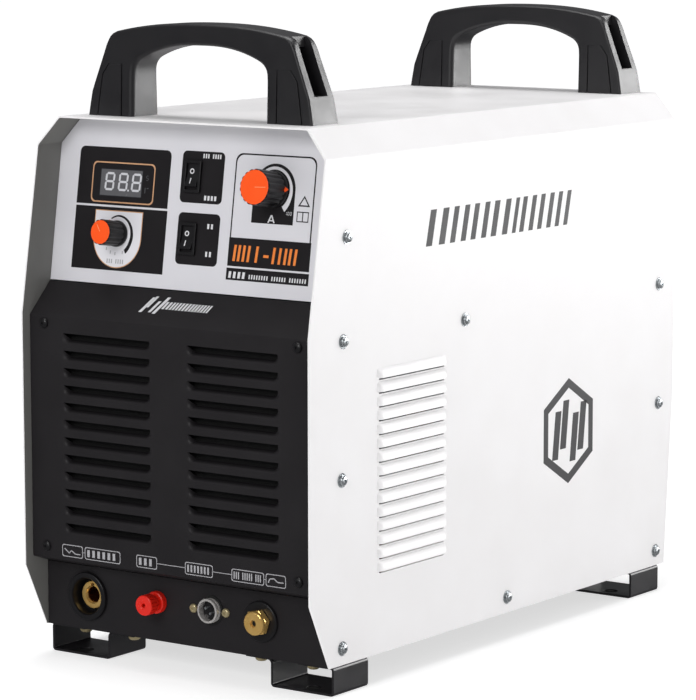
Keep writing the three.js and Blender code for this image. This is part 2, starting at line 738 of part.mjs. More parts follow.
function airInlet() {
  const barb = (y) => [[5, y], [6.6, y + 1], [5, y + 6]];
  const profile = [
    [0, -14], [7, -14], [7, GAP], [10, GAP], [10, 9], [5, 9],
    ...barb(11), ...barb(17.5), [4.2, REAR_REACH], [0, REAR_REACH],
  ];
  const nut = prismY(regularPolygon(0, 0, 11.4, 6), GAP, 7);
  const inlet = cut(join(turnedY(profile, 16), nut), rodY(0, 0, 2.8, -10, 40, 10));
  return inlet.translate([AIR_INLET.x, REAR_FACE, AIR_INLET.z]);
}

function cableGland() {
  const stem = turnedY([[0, -10], [12, -10], [12, GAP], [15, GAP], [15, 6], [12.6, 6], [12.6, 12], [0, 12]], 20);
  const gland = cut(stem, rodY(0, 0, 8, -12, 30, 16));
  return gland.translate([CABLE_GLAND.x, REAR_FACE, CABLE_GLAND.z]);
}

function glandNut() {
  const start = 6 + GAP;
  const nut = join(
    prismY(regularPolygon(0, 0, 16.6, 6), start, 13),
    turnedY([[0, 12], [14, 12], [13, 19], [9.5, 21.5], [0, 21.5]], 20),
  );
  const hollow = turnedY([[0, 4], [12.6 + GAP, 4], [12.6 + GAP, 13], [7.5, 16], [7.5, 24], [0, 24]], 20);
  return cut(nut, hollow).translate([CABLE_GLAND.x, REAR_FACE, CABLE_GLAND.z]);
}

function earthStud() {
  const stud = join(
    turnedY([[0, -12], [4, -12], [4, GAP], [9, GAP], [9, 2], [4, 2], [4, 18], [3, 19], [0, 19]], 14),
    prismY(regularPolygon(0, 0, 7.5, 6), 2, 8),
  );
  return stud.translate([EARTH_STUD.x, REAR_FACE, EARTH_STUD.z]);
}

function buildRear() {
  place('fan_housing', fanHousing(), MATERIALS.blackPlastic);
  place('fan_rotor', fanRotor(), MATERIALS.blackPlastic);
  place('fan_guard', fanGuard(), MATERIALS.zinc);
  place('breaker_body', breakerBody(), MATERIALS.blackPlastic);
  place('breaker_lever', breakerLever(), MATERIALS.blackPlastic);
  place('air_inlet', airInlet(), MATERIALS.brass);
  place('cable_gland', cableGland(), MATERIALS.blackPlastic);
  place('gland_nut', glandNut(), MATERIALS.blackPlastic);
  place('earth_stud', earthStud(), MATERIALS.zinc);
}

// ---------------------------------------------------------------- inside

/** A finned extrusion: a base plate on top with fins hanging down. */
function heatsink(x0, x1) {
  const top = 268;
  const base = 262;
  const tip = 205;
  const fins = 8;
  const pitch = (x1 - x0 - 3) / (fins - 1);
  const teeth = Array.from({ length: fins }, (_, i) => {
    const x = x0 + i * pitch;
    return [[x, base], [x, tip], [x + 3, tip], [x + 3, base]];
  });
  const outline = [[x1, top], [x0, top], ...teeth.flat().filter(([x, z]) => !(z === base && (x === x0 || x === x1)))];
  return prismY(outline, 160, 440);
}

function transformerCore() {
  const windows = [[-92, -62], [-38, -8]];
  const frame = box(-110, 10, 215, 285, 32, 122);
  return cut(frame, ...windows.map(([x0, x1]) => box(x0, x1, 200, 300, 50, 104)));
}

function transformerWinding() {
  const outer = box(-91, -9, 200, 300, 51, 103);
  return cut(outer, box(-62 - GAP, -38 + GAP, 215 - GAP, 285 + GAP, 40, 110));
}

function chokeRing() {
  const section = [[22, 0], [44, 0], [48, 4], [48, 36], [44, 40], [22, 40], [18, 36], [18, 4], [22, 0]];
  const ring = new THREE.LatheGeometry(section.map(([r, y]) => new THREE.Vector2(r, y)), 20);
  ring.rotateX(Math.PI / 2);
  return solid(ring).translate([75, 250, 34]);
}

function solenoidValve() {
  const { x, z } = AIR_INLET;
  const body = box(x - 15, x + 15, REAR_FACE - 52, REAR_FACE - 15, z - 13, z + 13);
  const coil = rodZ(x, REAR_FACE - 34, 13, z + 12, z + 50);
  return join(body, coil);
}

/** The hose from the valve along the floor to the torch fitting. */
function gasHose() {
  const { x, z } = AIR_INLET;
  const floor = 38;
  const route = new THREE.CatmullRomCurve3([
    [x, REAR_FACE - 53, z], [x, REAR_FACE - 78, z], [-122, 400, floor + 6], [-122, 250, floor],
    [-118, 140, floor], [-60, 92, floor + 4], [20, 84, floor + 12], [TORCH_FITTING.x, 74, TORCH_FITTING.z],
    [TORCH_FITTING.x, CONNECTOR_FACE + 27, TORCH_FITTING.z],
  ].map((point) => new THREE.Vector3(...point)));
  const circle = new THREE.Shape(regularPolygon(0, 0, 5, 6).map(([u, v]) => new THREE.Vector2(u, v)));
  return solid(new THREE.ExtrudeGeometry(circle, { steps: 26, extrudePath: route, bevelEnabled: false }));
}

function buildInside() {
  place('heatsink_left', heatsink(-126, -12), MATERIALS.aluminium);
  place('heatsink_right', heatsink(12, 126), MATERIALS.aluminium);
  place('power_board', box(-128, 128, 150, 446, 276, 278), MATERIALS.circuit);
  [[-60, 210], [60, 210], [-60, 280], [60, 280]].forEach(([x, y], i) => {
    place(`capacitor_${i + 1}`, rodZ(x, y, 25, 278 + GAP, 352, 20), MATERIALS.sleeve);
  });
  place('transformer_core', transformerCore(), MATERIALS.ferrite);
  place('transformer_winding', transformerWinding(), MATERIALS.copper);
  place('choke', chokeRing(), MATERIALS.copper);
  place('gas_valve', solenoidValve(), MATERIALS.brass);
  place('gas_hose', gasHose(), MATERIALS.hose);
}

buildBody();
buildHandles();
buildFeet();
buildControls();
buildConnectors();
buildRear();
buildInside();

export default machine;
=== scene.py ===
"""Looks of the plasma cutter unit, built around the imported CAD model."""

import math

import bmesh
import bpy
from mathutils import Matrix, Vector


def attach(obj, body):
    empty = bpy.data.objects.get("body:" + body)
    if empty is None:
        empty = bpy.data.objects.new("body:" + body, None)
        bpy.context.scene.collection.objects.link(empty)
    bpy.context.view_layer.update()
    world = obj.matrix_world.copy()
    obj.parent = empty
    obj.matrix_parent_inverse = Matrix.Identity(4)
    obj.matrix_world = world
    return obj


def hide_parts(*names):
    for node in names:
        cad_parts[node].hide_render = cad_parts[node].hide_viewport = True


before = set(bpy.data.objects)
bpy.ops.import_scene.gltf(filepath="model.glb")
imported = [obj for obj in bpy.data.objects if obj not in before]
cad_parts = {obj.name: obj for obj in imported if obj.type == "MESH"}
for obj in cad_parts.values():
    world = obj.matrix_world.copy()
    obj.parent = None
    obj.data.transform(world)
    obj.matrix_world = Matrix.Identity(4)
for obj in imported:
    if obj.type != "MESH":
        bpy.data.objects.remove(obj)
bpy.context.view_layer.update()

MM = 0.001
DEPTH_SHIFT = -272.75  # the foremost edge of the cover lies this far along Y, in mm

# ------------------------------------------------------------------ main sizes, in mm
HALF_WIDTH = 140
SHEET = 1.5
BODY_FLOOR = 23
SHOULDER = 407
ROOF = 429.5
CHAMFER_RUN = 19.5
COVER_DEPTH = 531
LOWER_KINK = 75
UPPER_KINK = 276
LOWER_SETBACK = 24.8
FRONT_LEAN = 0.168
REAR_KINK = 170.5
REAR_SETBACK = 12
PANEL_FOOT = (33.8, 299.1)
PANEL_TILT = math.atan(0.15)
LOUVRE_FACE = 8.5
CONNECTOR_FACE = 26
REAR_FACE = 517.5
INNER_HALF = 138.2
SIDES = {"right": 1, "left": -1}
ROOF_HALF = 119.6  # half the width of the front and rear sheets under the roof

# (x, height) of the lead connections
EARTH_SOCKET = (-96.2, 50.5)
PILOT_POST = (-25.7, 54.4)
CONTROL_SOCKET = (26.6, 54.3)
TORCH_SOCKET = (75, 51.5)


# ------------------------------------------------------------------ frames of reference
def local_frame(origin, right, up, out):
    """Takes (u, v, w) in mm, w towards the viewer, to the row frame in metres."""
    columns = [Vector(right), Vector(up), Vector(out), Vector(origin)]
    matrix = Matrix.Identity(4)
    for c, column in enumerate(columns):
        for r in range(3):
            matrix[r][c] = column[r]
    shift = Matrix.Translation((0, DEPTH_SHIFT, 0))
    return Matrix.Scale(MM, 4) @ shift @ matrix


def front_frame(x, y, z):
    return local_frame((x, y, z), (1, 0, 0), (0, 0, 1), (0, -1, 0))


def rear_frame(x, y, z):
    return local_frame((x, y, z), (-1, 0, 0), (0, 0, 1), (0, 1, 0))


def side_frame(sign, y=0, z=0, x=HALF_WIDTH):
    return local_frame((sign * x, y, z), (0, sign, 0), (0, 0, 1), (sign, 0, 0))


def under_frame(x, y, z):
    return local_frame((x, y, z), (1, 0, 0), (0, -1, 0), (0, 0, -1))


def panel_frame(x=0, s=0, depth=0):
    """On the tilted control panel: x across, s up along it, depth behind its face."""
    cosine, sine = math.cos(PANEL_TILT), math.sin(PANEL_TILT)
    y = PANEL_FOOT[0] + depth * cosine + s * sine
    z = PANEL_FOOT[1] - depth * sine + s * cosine
    return local_frame((x, y, z), (1, 0, 0), (0, sine, cosine), (0, -cosine, sine))


def upright_frame(x=0, y=0, z=0):
    return local_frame((x, y, z), (1, 0, 0), (0, 1, 0), (0, 0, 1))


MACHINE = upright_frame()


def add_object(name, data):
    obj = bpy.data.objects.new(name, data)
    bpy.context.scene.collection.objects.link(obj)
    return obj


# ------------------------------------------------------------------ materials
def linear(code):
    """A colour from its hexadecimal sRGB code."""
    values = [int(code[i:i + 2], 16) / 255 for i in (0, 2, 4)]
    return [v / 12.92 if v <= 0.04045 else ((v + 0.055) / 1.055) ** 2.4 for v in values] + [1.0]


def wire(tree, node, inputs):
    """Sets a node's inputs to values, or links them where the value is a socket."""
    for name, value in inputs.items():
        if isinstance(value, bpy.types.NodeSocket):
            tree.links.new(value, node.inputs[name])
        else:
            node.inputs[name].default_value = value
    return node


def add_node(tree, kind, inputs):
    node = tree.nodes.new("ShaderNode" + kind)
    if kind == "Mix":
        node.data_type = "RGBA"
    return wire(tree, node, inputs)


RELIEF_HEIGHT = 0.0004  # metres


def material(name, dark, light, rough, mottle, grain, bump, more=()):
    """A procedural surface: two close shades, a roughness range and one fine relief.

    mottle and grain are noise scales per metre. more may hold metallic, coat and specular;
    streak, which stretches the grain along an axis; and speck, the scale, colour code and
    share of small dust or mineral flecks.
    """
    more = dict(more)
    mat = bpy.data.materials.new(name)
    mat.use_nodes = True
    tree = mat.node_tree
    where = add_node(tree, "TexCoord", {}).outputs["Object"]
    noise = add_node(tree, "TexNoise", {"Vector": where, "Scale": mottle, "Detail": 4})
    broad = noise.outputs["Fac"]
    shade = add_node(tree, "Mix", {"Factor": broad, "A": linear(dark), "B": linear(light)})
    if "speck" in more:
        scale, code, share = more["speck"]
        cells = add_node(tree, "TexNoise", {"Vector": where, "Scale": scale, "Detail": 2})
        pick = add_node(tree, "MapRange", {
            "Value": cells.outputs["Fac"], "From Min": 1 - share, "From Max": 1.04 - share})
        shade = add_node(tree, "Mix", {
            "Factor": pick.outputs["Result"], "A": shade.outputs["Result"], "B": linear(code)})
    spread = add_node(tree, "MapRange", {
        "Value": broad, "From Min": 0.3, "From Max": 0.7, "To Min": rough[0], "To Max": rough[1]})
    if "streak" in more:
        stretch = add_node(tree, "Mapping", {"Vector": where, "Scale": more["streak"]})
        where = stretch.outputs["Vector"]
    fine = add_node(tree, "TexNoise", {"Vector": where, "Scale": grain, "Detail": 3})
    relief = add_node(tree, "Bump", {
        "Strength": bump, "Distance": RELIEF_HEIGHT, "Height": fine.outputs["Fac"]})
    wire(tree, tree.nodes["Principled BSDF"], {
        "Base Color": shade.outputs["Result"], "Roughness": spread.outputs["Result"],
        "Normal": relief.outputs["Normal"], "Metallic": more.get("metallic", 0.0),
        "Specular IOR Level": more.get("specular", 0.5),
        "Coat Weight": more.get("coat", 0.0), "Coat Roughness": 0.12})
    return mat


# dark and light shade, range of roughness, scales of mottle and grain, strength of relief
LOOKS = {
    "white_coat": ("eceaea", "f2f1f2", (0.34, 0.46), 18, 700, 0.06, {"specular": 0.3}),
    # darker grey for the inner faces of the cover: painted shade for the white sheet's shaded
    # inside
    "cover_inside_shade": ("72726f", "7c7b78", (0.5, 0.65), 30, 800, 0.08),
    "black_coat": ("1f1d1f", "272527", (0.42, 0.54), 26, 1500, 0.16,
        {"specular": 0.22, "speck": (2600, "39373a", 0.3)}),
    "silver_panel": ("dddce2", "e7e6ea", (0.36, 0.44), 22, 1400, 0.05, {"metallic": 0.08}),
    "foot_coat": ("19171a", "211f22", (0.3, 0.42), 26, 1500, 0.14,
        {"specular": 0.45, "speck": (2600, "333134", 0.3)}),
    "print_black": ("1d1b1d", "242224", (0.38, 0.48), 35, 1600, 0.06, {"specular": 0.18}),
    "print_white": ("d9d9dc", "e4e4e6", (0.4, 0.5), 60, 1600, 0.04),
    "print_pale": ("e2e1e6", "ebeaee", (0.35, 0.45), 30, 1500, 0.04),
    "print_grey": ("a5a4a7", "b1b0b3", (0.45, 0.55), 60, 1600, 0.04),
    "print_orange": ("f08030", "f68c3a", (0.4, 0.5), 50, 1600, 0.04),
    "print_amber": ("c99770", "d6a780", (0.4, 0.5), 50, 1600, 0.04),
    "print_slate": ("302f31", "373638", (0.45, 0.55), 24, 1400, 0.05, {"specular": 0.25}),
    "black_plastic": ("0f0e10", "161517", (0.3, 0.42), 45, 1700, 0.14),
    "handle_plastic": ("18171a", "1f1e20", (0.36, 0.47), 40, 2100, 0.22,
        {"speck": (3200, "343336", 0.32)}),
    "orange_plastic": ("ff5008", "ff5c12", (0.4, 0.5), 60, 1500, 0.05, {"specular": 0.35}),
    "red_plastic": ("dc1a0c", "e62412", (0.3, 0.4), 60, 900, 0.04, {"specular": 0.4}),
    "smoked_lens": ("3a3b3f", "424347", (0.1, 0.18), 30, 600, 0.02, {"coat": 0.3}),
    "digit": ("c9cacf", "d8d8dc", (0.3, 0.4), 80, 900, 0.02),
    "display_face": ("5a5a5d", "666669", (0.2, 0.3), 60, 900, 0.02),
    "cap_line": ("ff9a68", "ffa678", (0.35, 0.45), 60, 900, 0.03),
    "digit_dim": ("4c4d51", "55565a", (0.3, 0.4), 80, 900, 0.02),
    "zinc": ("a9adb0", "c8cdcf", (0.2, 0.34), 260, 1200, 0.08, {"metallic": 0.85}),
    "nickel": ("d2cecb", "e6e2df", (0.14, 0.24), 240, 1200, 0.05, {"metallic": 0.6}),
    "zinc_yellow": ("b5a47c", "d0c39a", (0.24, 0.4), 240, 1200, 0.08, {"metallic": 0.6}),
    "brass": ("eebb62", "fbd488", (0.14, 0.24), 180, 1600, 0.05, {"metallic": 0.65}),
    # a darker copy of brass: painted shade for the inside of the earth socket's bore
    "brass_in_shade": ("5b2f10", "7a4419", (0.35, 0.5), 180, 1500, 0.08, {"metallic": 0.9}),
    "steel": ("85888c", "9c9fa3", (0.28, 0.42), 120, 1500, 0.08, {"metallic": 0.95}),
    "aluminium": ("9a9da2", "b0b3b8", (0.36, 0.5), 90, 1400, 0.1,
        {"metallic": 0.95, "streak": (1, 0.05, 1)}),
    "circuit": ("14492b", "1c5a36", (0.4, 0.55), 90, 1500, 0.1),
    "ferrite": ("26241f", "34322c", (0.6, 0.8), 110, 1200, 0.25),
    "copper": ("9c5122", "bd6a32", (0.28, 0.42), 150, 1500, 0.2,
        {"metallic": 0.9, "streak": (0.1, 0.1, 1)}),
    "hose": ("1c3f7c", "264d90", (0.4, 0.52), 70, 1400, 0.08),
    "sleeve": ("18222e", "22303f", (0.28, 0.4), 60, 900, 0.04),
    # near-black for hollows and the inside behind openings: painted shade
    "shade_black": ("060606", "0b0b0b", (0.7, 0.85), 60, 900, 0.05),
    "rubber": ("141414", "1c1c1c", (0.62, 0.78), 80, 1500, 0.2),
}
M = {name: material(name, *look) for name, look in LOOKS.items()}


# ------------------------------------------------------------------ mesh helpers
SHARP = math.radians(32)


def shaded(mesh):
    """Smooth shading, broken at edges that turn by more than SHARP."""
    bm = bmesh.new()
    bm.from_mesh(mesh)
    for face in bm.faces:
        face.smooth = True
    for edge in bm.edges:
        edge.smooth = len(edge.link_faces) == 2 and edge.calc_face_angle(0) < SHARP
    bm.to_mesh(mesh)
    bm.free()
    return mesh


def add_weighted_normals(obj):
    """Large faces keep their own normal, so that small bevels do not bend the light on them."""
    modifier = obj.modifiers.new("normals", "WEIGHTED_NORMAL")
    modifier.keep_sharp = True


def piece(name, mesh, mat, body="chassis", at=MACHINE, replaces=()):
    """Adds a mesh given in mm of a local frame as a finished piece on a CAD body."""
    mesh = mesh.copy()
    mesh.name = name
    mesh.transform(at)
    if at.to_3x3().determinant() < 0:
        mesh.flip_normals()
    names = [mat] if isinstance(mat, str) else list(mat)
    chosen = [polygon.material_index for polygon in mesh.polygons]
    mesh.materials.clear()
    for item in names:
        mesh.materials.append(M[item])
    for polygon, index in zip(mesh.polygons, chosen):
        polygon.material_index = min(index, len(names) - 1)
    mesh = evaluated(shaded(mesh), add_weighted_normals)
    mesh.name = name
    obj = add_object(name, mesh)
    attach(obj, body)
    if replaces:
        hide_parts(*replaces)
    return obj


def to_mesh(bm, reorient=True):
    if reorient:
        bmesh.ops.recalc_face_normals(bm, faces=bm.faces)
    mesh = bpy.data.meshes.new("shape")
    bm.to_mesh(mesh)
    bm.free()
    return mesh


WELD = 1e-4


def from_faces(points, faces, reorient=True):
    bm = bmesh.new()
    verts = [bm.verts.new(p) for p in points]
    for face in faces:
        if len(set(face)) > 2:
            bm.faces.new([verts[i] for i in face])
    bmesh.ops.remove_doubles(bm, verts=bm.verts, dist=WELD)
    return to_mesh(bm, reorient)


def joined(*meshes):
    bm = bmesh.new()
    for mesh in meshes:
        bm.from_mesh(mesh)
    mesh = bpy.data.meshes.new("joined")
    bm.to_mesh(mesh)
    bm.free()
    return mesh


def moved(mesh, x=0, y=0, z=0, turn=None):
    """A copy, turned by (angle in degrees, axis) and then moved."""
    copy = mesh.copy()
    if turn:
        copy.transform(Matrix.Rotation(math.radians(turn[0]), 4, turn[1]))
    copy.transform(Matrix.Translation((x, y, z)))
    return copy


def mirrored(mesh):
    copy = mesh.copy()
    copy.transform(Matrix.Scale(-1, 4, (1, 0, 0)))
    copy.flip_normals()
    return copy


def evaluated(mesh, set_up):
    """The mesh after the modifiers that set_up adds."""
    obj = add_object("work", mesh)
    set_up(obj)
    graph = bpy.context.evaluated_depsgraph_get()
    result = bpy.data.meshes.new_from_object(obj.evaluated_get(graph))
    bpy.data.objects.remove(obj)
    return result


def bevelled(mesh, width, segments=2, angle=35):
    """The mesh with every edge that turns by more than angle degrees rounded off."""
    def set_up(obj):
        bevel = obj.modifiers.new("bevel", "BEVEL")
        bevel.width = width
        bevel.segments = segments
        bevel.limit_method = "ANGLE"
        bevel.angle_limit = math.radians(angle)
    return evaluated(mesh, set_up)


def thickened(mesh, thickness, rim_material=0, inner_material=0):
    """Sheet metal from a surface: grows against its normals."""
    mesh = mesh.copy()
    for _ in range(1 + max(rim_material, inner_material)):
        mesh.materials.append(None)

    def set_up(obj):
        solid = obj.modifiers.new("solid", "SOLIDIFY")
        solid.thickness = thickness
        solid.offset = -1
        solid.use_even_offset = True
        solid.material_offset = inner_material
        solid.material_offset_rim = rim_material
    return evaluated(mesh, set_up)


def less(mesh, *tools):
    """The mesh with the tools cut out of it; the tools must not overlap each other."""
    tool = add_object("tool", joined(*tools))

    def set_up(obj):
        step = obj.modifiers.new("bool", "BOOLEAN")
        step.operation = "DIFFERENCE"
        step.solver = "EXACT"
        step.object = tool
    result = evaluated(mesh, set_up)
    bpy.data.objects.remove(tool)
    return result


def sheet_of(rings, thickness):
    """Sheet metal over rings that are open at both ends."""
    return thickened(lofted(rings, closed=False, caps=False), thickness)


def block(x0, x1, y0, y1, z0, z1):
    points = [(x, y, z) for x in (x0, x1) for y in (y0, y1) for z in (z0, z1)]
    faces = [(0, 1, 3, 2), (4, 6, 7, 5), (0, 4, 5, 1), (2, 3, 7, 6), (0, 2, 6, 4), (1, 5, 7, 3)]
    return from_faces(points, faces)


def lofted(rings, closed=True, caps=True):
    """Skins rings of equally many points; an open skin faces along (ring x next ring)."""
    count = len(rings[0])
    points = [p for ring in rings for p in ring]
    faces = []
    last = count if closed else count - 1
    for r in range(len(rings) - 1):
        for c in range(last):
            a, b = r * count + c, r * count + (c + 1) % count
            faces.append((a, b, b + count, a + count))
    if caps and closed:
        faces.append(tuple(range(count)))
        start = (len(rings) - 1) * count
        faces.append(tuple(range(start, start + count)))
    return from_faces(points, faces, reorient=closed or caps)


def turned(profile, steps=48):
    """A turned piece about the w axis from (radius, height) points."""
    rings = []
    for i in range(steps):
        angle = 2 * math.pi * i / steps
        rings.append([(r * math.cos(angle), r * math.sin(angle), w) for r, w in profile])
    rings.append(rings[0])
    return lofted(rings, closed=False, caps=True)


def outline_prism(outline, w0, w1):
    """A prism along w from a closed outline without holes."""
    return lofted([[(u, v, w0) for u, v in outline], [(u, v, w1) for u, v in outline]])


def plate(outlines, w0, w1, bevel=0.0):
    """A flat plate from a closed outline and any holes in it, with softened edges."""
    curve = bpy.data.curves.new("plate", "CURVE")
    curve.dimensions = "2D"
    curve.fill_mode = "BOTH"
    curve.resolution_u = 1
    for number, outline in enumerate(outlines):
        area = sum(a[0] * b[1] - b[0] * a[1] for a, b in zip(outline, outline[1:] + outline[:1]))
        if (area < 0) == (number == 0):
            outline = outline[::-1]
        spline = curve.splines.new("POLY")
        spline.points.add(len(outline) - 1)
        for point, (u, v) in zip(spline.points, outline):
            point.co = (u, v, 0, 1)
        spline.use_cyclic_u = True
    curve.extrude = (w1 - w0) / 2 - bevel
    curve.bevel_depth = bevel
    curve.bevel_resolution = 1
    curve.offset = -bevel
    obj = add_object("plate", curve)
    graph = bpy.context.evaluated_depsgraph_get()
    mesh = bpy.data.meshes.new_from_object(obj.evaluated_get(graph))
    bpy.data.objects.remove(obj)
    mesh.transform(Matrix.Translation((0, 0, (w0 + w1) / 2)))
    bm = bmesh.new()
    bm.from_mesh(mesh)
    bmesh.ops.remove_doubles(bm, verts=bm.verts, dist=WELD)
    return to_mesh(bm)


def tube(path, radius, cyclic=False, sides=10):
    """Round wire along a smooth path of points."""
    points = [Vector(p) for p in path]
    count = len(points)
    rings = []
    normal = None
    for i, point in enumerate(points):
        before = points[i - 1] if i or cyclic else point
        after = points[(i + 1) % count] if i + 1 < count or cyclic else point
        along = (after - before).normalized()
        if normal is None:
            normal = along.orthogonal().normalized()
        normal = (normal - along * normal.dot(along)).normalized()
        across = along.cross(normal)
        rings.append([
            point + (normal * math.cos(a) + across * math.sin(a)) * radius
            for a in (2 * math.pi * k / sides for k in range(sides))
        ])
    if cyclic:
        rings.append(rings[0])
    return lofted(rings, caps=not cyclic)


# ------------------------------------------------------------------ outlines
def arc(cx, cy, radius, start, end, steps=10):
    """Points on a circle, angles in degrees."""
    return [
        (cx + radius * math.cos(math.radians(a)), cy + radius * math.sin(math.radians(a)))
        for a in (start + (end - start) * i / steps for i in range(steps + 1))
    ]


def circle(cx, cy, radius, steps=40):
    return arc(cx, cy, radius, 0, 360, steps)[:-1]


def polygon(cx, cy, radius, sides, turn=0):
    return arc(cx, cy, radius, turn, turn + 360, sides)[:-1]


def rounded(u0, u1, v0, v1, radius, corners=(1, 1, 1, 1), steps=6):
    """A rectangle with rounded corners: lower left, lower right, upper right, upper left."""
    centres = [(u0, v0, 1, 1, 180), (u1, v0, -1, 1, 270), (u1, v1, -1, -1, 0), (u0, v1, 1, -1, 90)]
    points = []
    for (u, v, du, dv, start), on in zip(centres, corners):
        r = radius * on
        if r:
            points += arc(u + du * r, v + dv * r, r, start, start + 90, steps)
        else:
            points.append((u, v))
    return points


def rounded_path(points, radius, steps=5):
    """An open polyline with its inner corners replaced by arcs."""
    path = [Vector(points[0])]
    for a, b, c in zip(points, points[1:], points[2:]):
        a, b, c = Vector(a), Vector(b), Vector(c)
        into, out = (b - a).normalized(), (c - b).normalized()
        turn = into.angle(out)
        run = radius * math.tan(turn / 2)
        start = b - into * run
        side = 1 if into.x * out.y - into.y * out.x > 0 else -1
        centre = start + Vector((-into.y, into.x)) * radius * side
        for i in range(steps + 1):
            angle = side * turn * i / steps
            spoke = start - centre
            path.append(centre + Vector((
                spoke.x * math.cos(angle) - spoke.y * math.sin(angle),
                spoke.x * math.sin(angle) + spoke.y * math.cos(angle))))
    path.append(Vector(points[-1]))
    return [(p.x, p.y) for p in path]


def slanted(u0, u1, v0, v1, shift):
    """The shape of a bar whose top is shifted sideways."""
    return [[(u0, v0), (u1, v0), (u1 + shift, v1), (u0 + shift, v1)]]


def swept_sheet(line, u0, u1, thickness):
    """Sheet metal folded along a line of (depth, height) points and straight in u."""
    rings = [[(u, y, z) for y, z in line] for u in (u0, u1)]
    return sheet_of(rings, thickness)


# ------------------------------------------------------------------ camera, light and floor
def area_light(name, position, target, width, height, power, colour=(1, 1, 1)):
    light = bpy.data.lights.new(name, "AREA")
    light.shape = "RECTANGLE"
    light.size, light.size_y = width, height
    light.energy = power
    light.color = colour
    obj = add_object(name, light)
    obj.location = position
    obj.rotation_euler = (Vector(target) - Vector(position)).to_track_quat("-Z", "Y").to_euler()
    return obj


EYE = (1.627148, -2.297653, 0.618999)
LOOK = (-0.577104, 0.804903, -0.138136)
ROLL = math.radians(-0.10)
LENS = 178.0
FLOOR_REACH = 40  # metres


def build_camera():
    camera = bpy.data.cameras.new("camera")
    camera.lens = LENS
    camera.sensor_width = 36
    camera.sensor_fit = "HORIZONTAL"
    camera.clip_end = 50
    eye = add_object("camera", camera)
    look = Vector(LOOK).normalized()
    level = look.cross((0, 0, 1)).normalized()
    upright = level.cross(look)
    right = level * math.cos(ROLL) + upright * math.sin(ROLL)
    up = right.cross(look)
    matrix = Matrix((right, up, -look)).transposed().to_4x4()
    matrix.translation = EYE
    eye.matrix_world = matrix
    bpy.context.scene.camera = eye


def build_lights():
    scene = bpy.context.scene
    scene.view_settings.view_transform = "Standard"
    world = bpy.data.worlds.new("studio")
    world.use_nodes = True
    tree = world.node_tree
    wire(tree, tree.nodes["Background"], {"Color": (0.95, 0.96, 1.0, 1), "Strength": 0.16})
    scene.world = world

    area_light("key", (1.9, 2.5, 1.2), (0, 0.05, 0.3), 1.7, 1.8, 20, (1.0, 0.99, 0.98))
    area_light("side", (3.2, 0.6, 0.35), (0, 0, 0.1), 2.0, 0.7, 15)
    area_light("front", (0.3, -3.3, 1.8), (0, -0.2, 0.3), 1.6, 1.2, 45)
    area_light("top", (-0.1, 0.1, 2.6), (0, 0, 0.4), 1.6, 1.6, 46)
    sheen = area_light("sheen", (1.75, 2.35, 0.9), (0, 0.05, 0.3), 1.6, 1.8, 95)
    sheen.visible_diffuse = False


def build_floor():
    """A pale floor that brightens evenly away from the object."""
    floor = bpy.data.materials.new("pale_floor")
    floor.use_nodes = True
    tree = floor.node_tree
    where = add_node(tree, "TexCoord", {}).outputs["Object"]
    length = tree.nodes.new("ShaderNodeVectorMath")
    length.operation = "LENGTH"
    tree.links.new(where, length.inputs[0])
    glow = add_node(tree, "MapRange", {
        "Value": length.outputs["Value"], "From Min": 0.8, "From Max": 3.5, "To Min": 0.65,
        "To Max": 0.95})
    wire(tree, tree.nodes["Principled BSDF"], {
        "Base Color": (0.6, 0.6, 0.6, 1), "Roughness": 0.85, "Specular IOR Level": 0.1,
        "Emission Color": (1, 1, 1, 1), "Emission Strength": glow.outputs["Result"]})
    mesh = bpy.data.meshes.new("floor")
    mesh.from_pydata([(x * FLOOR_REACH, y * FLOOR_REACH, 0) for x, y in
                      ((-1, -1), (1, -1), (1, 1), (-1, 1))], [], [(0, 1, 2, 3)])
    mesh.materials.append(floor)
    obj = add_object("floor", mesh)
    obj.visible_glossy = False


# ------------------------------------------------------------------ sheet-metal body
LIPS = [237 - 10.68 * i for i in range(15)]  # heights of the side louvres' lower edges
LOUVRE_FRONT, LOUVRE_BACK = 87, 181
LOUVRE_REACH = 3.5
SLOT_FRONT, SLOT_BACK = 90, 178
SLOT_BELOW, SLOT_ABOVE = 1.7, 5


def cover_front(z):
    """How far behind the foremost edge the cover starts at a height."""
    if z < LOWER_KINK:
        return LOWER_SETBACK * (LOWER_KINK - z) / (LOWER_KINK - BODY_FLOOR)
    return max(0, (z - UPPER_KINK) * FRONT_LEAN)


def cover_back(z):
    return COVER_DEPTH - REAR_SETBACK * max(0, (REAR_KINK - z) / (REAR_KINK - BODY_FLOOR))


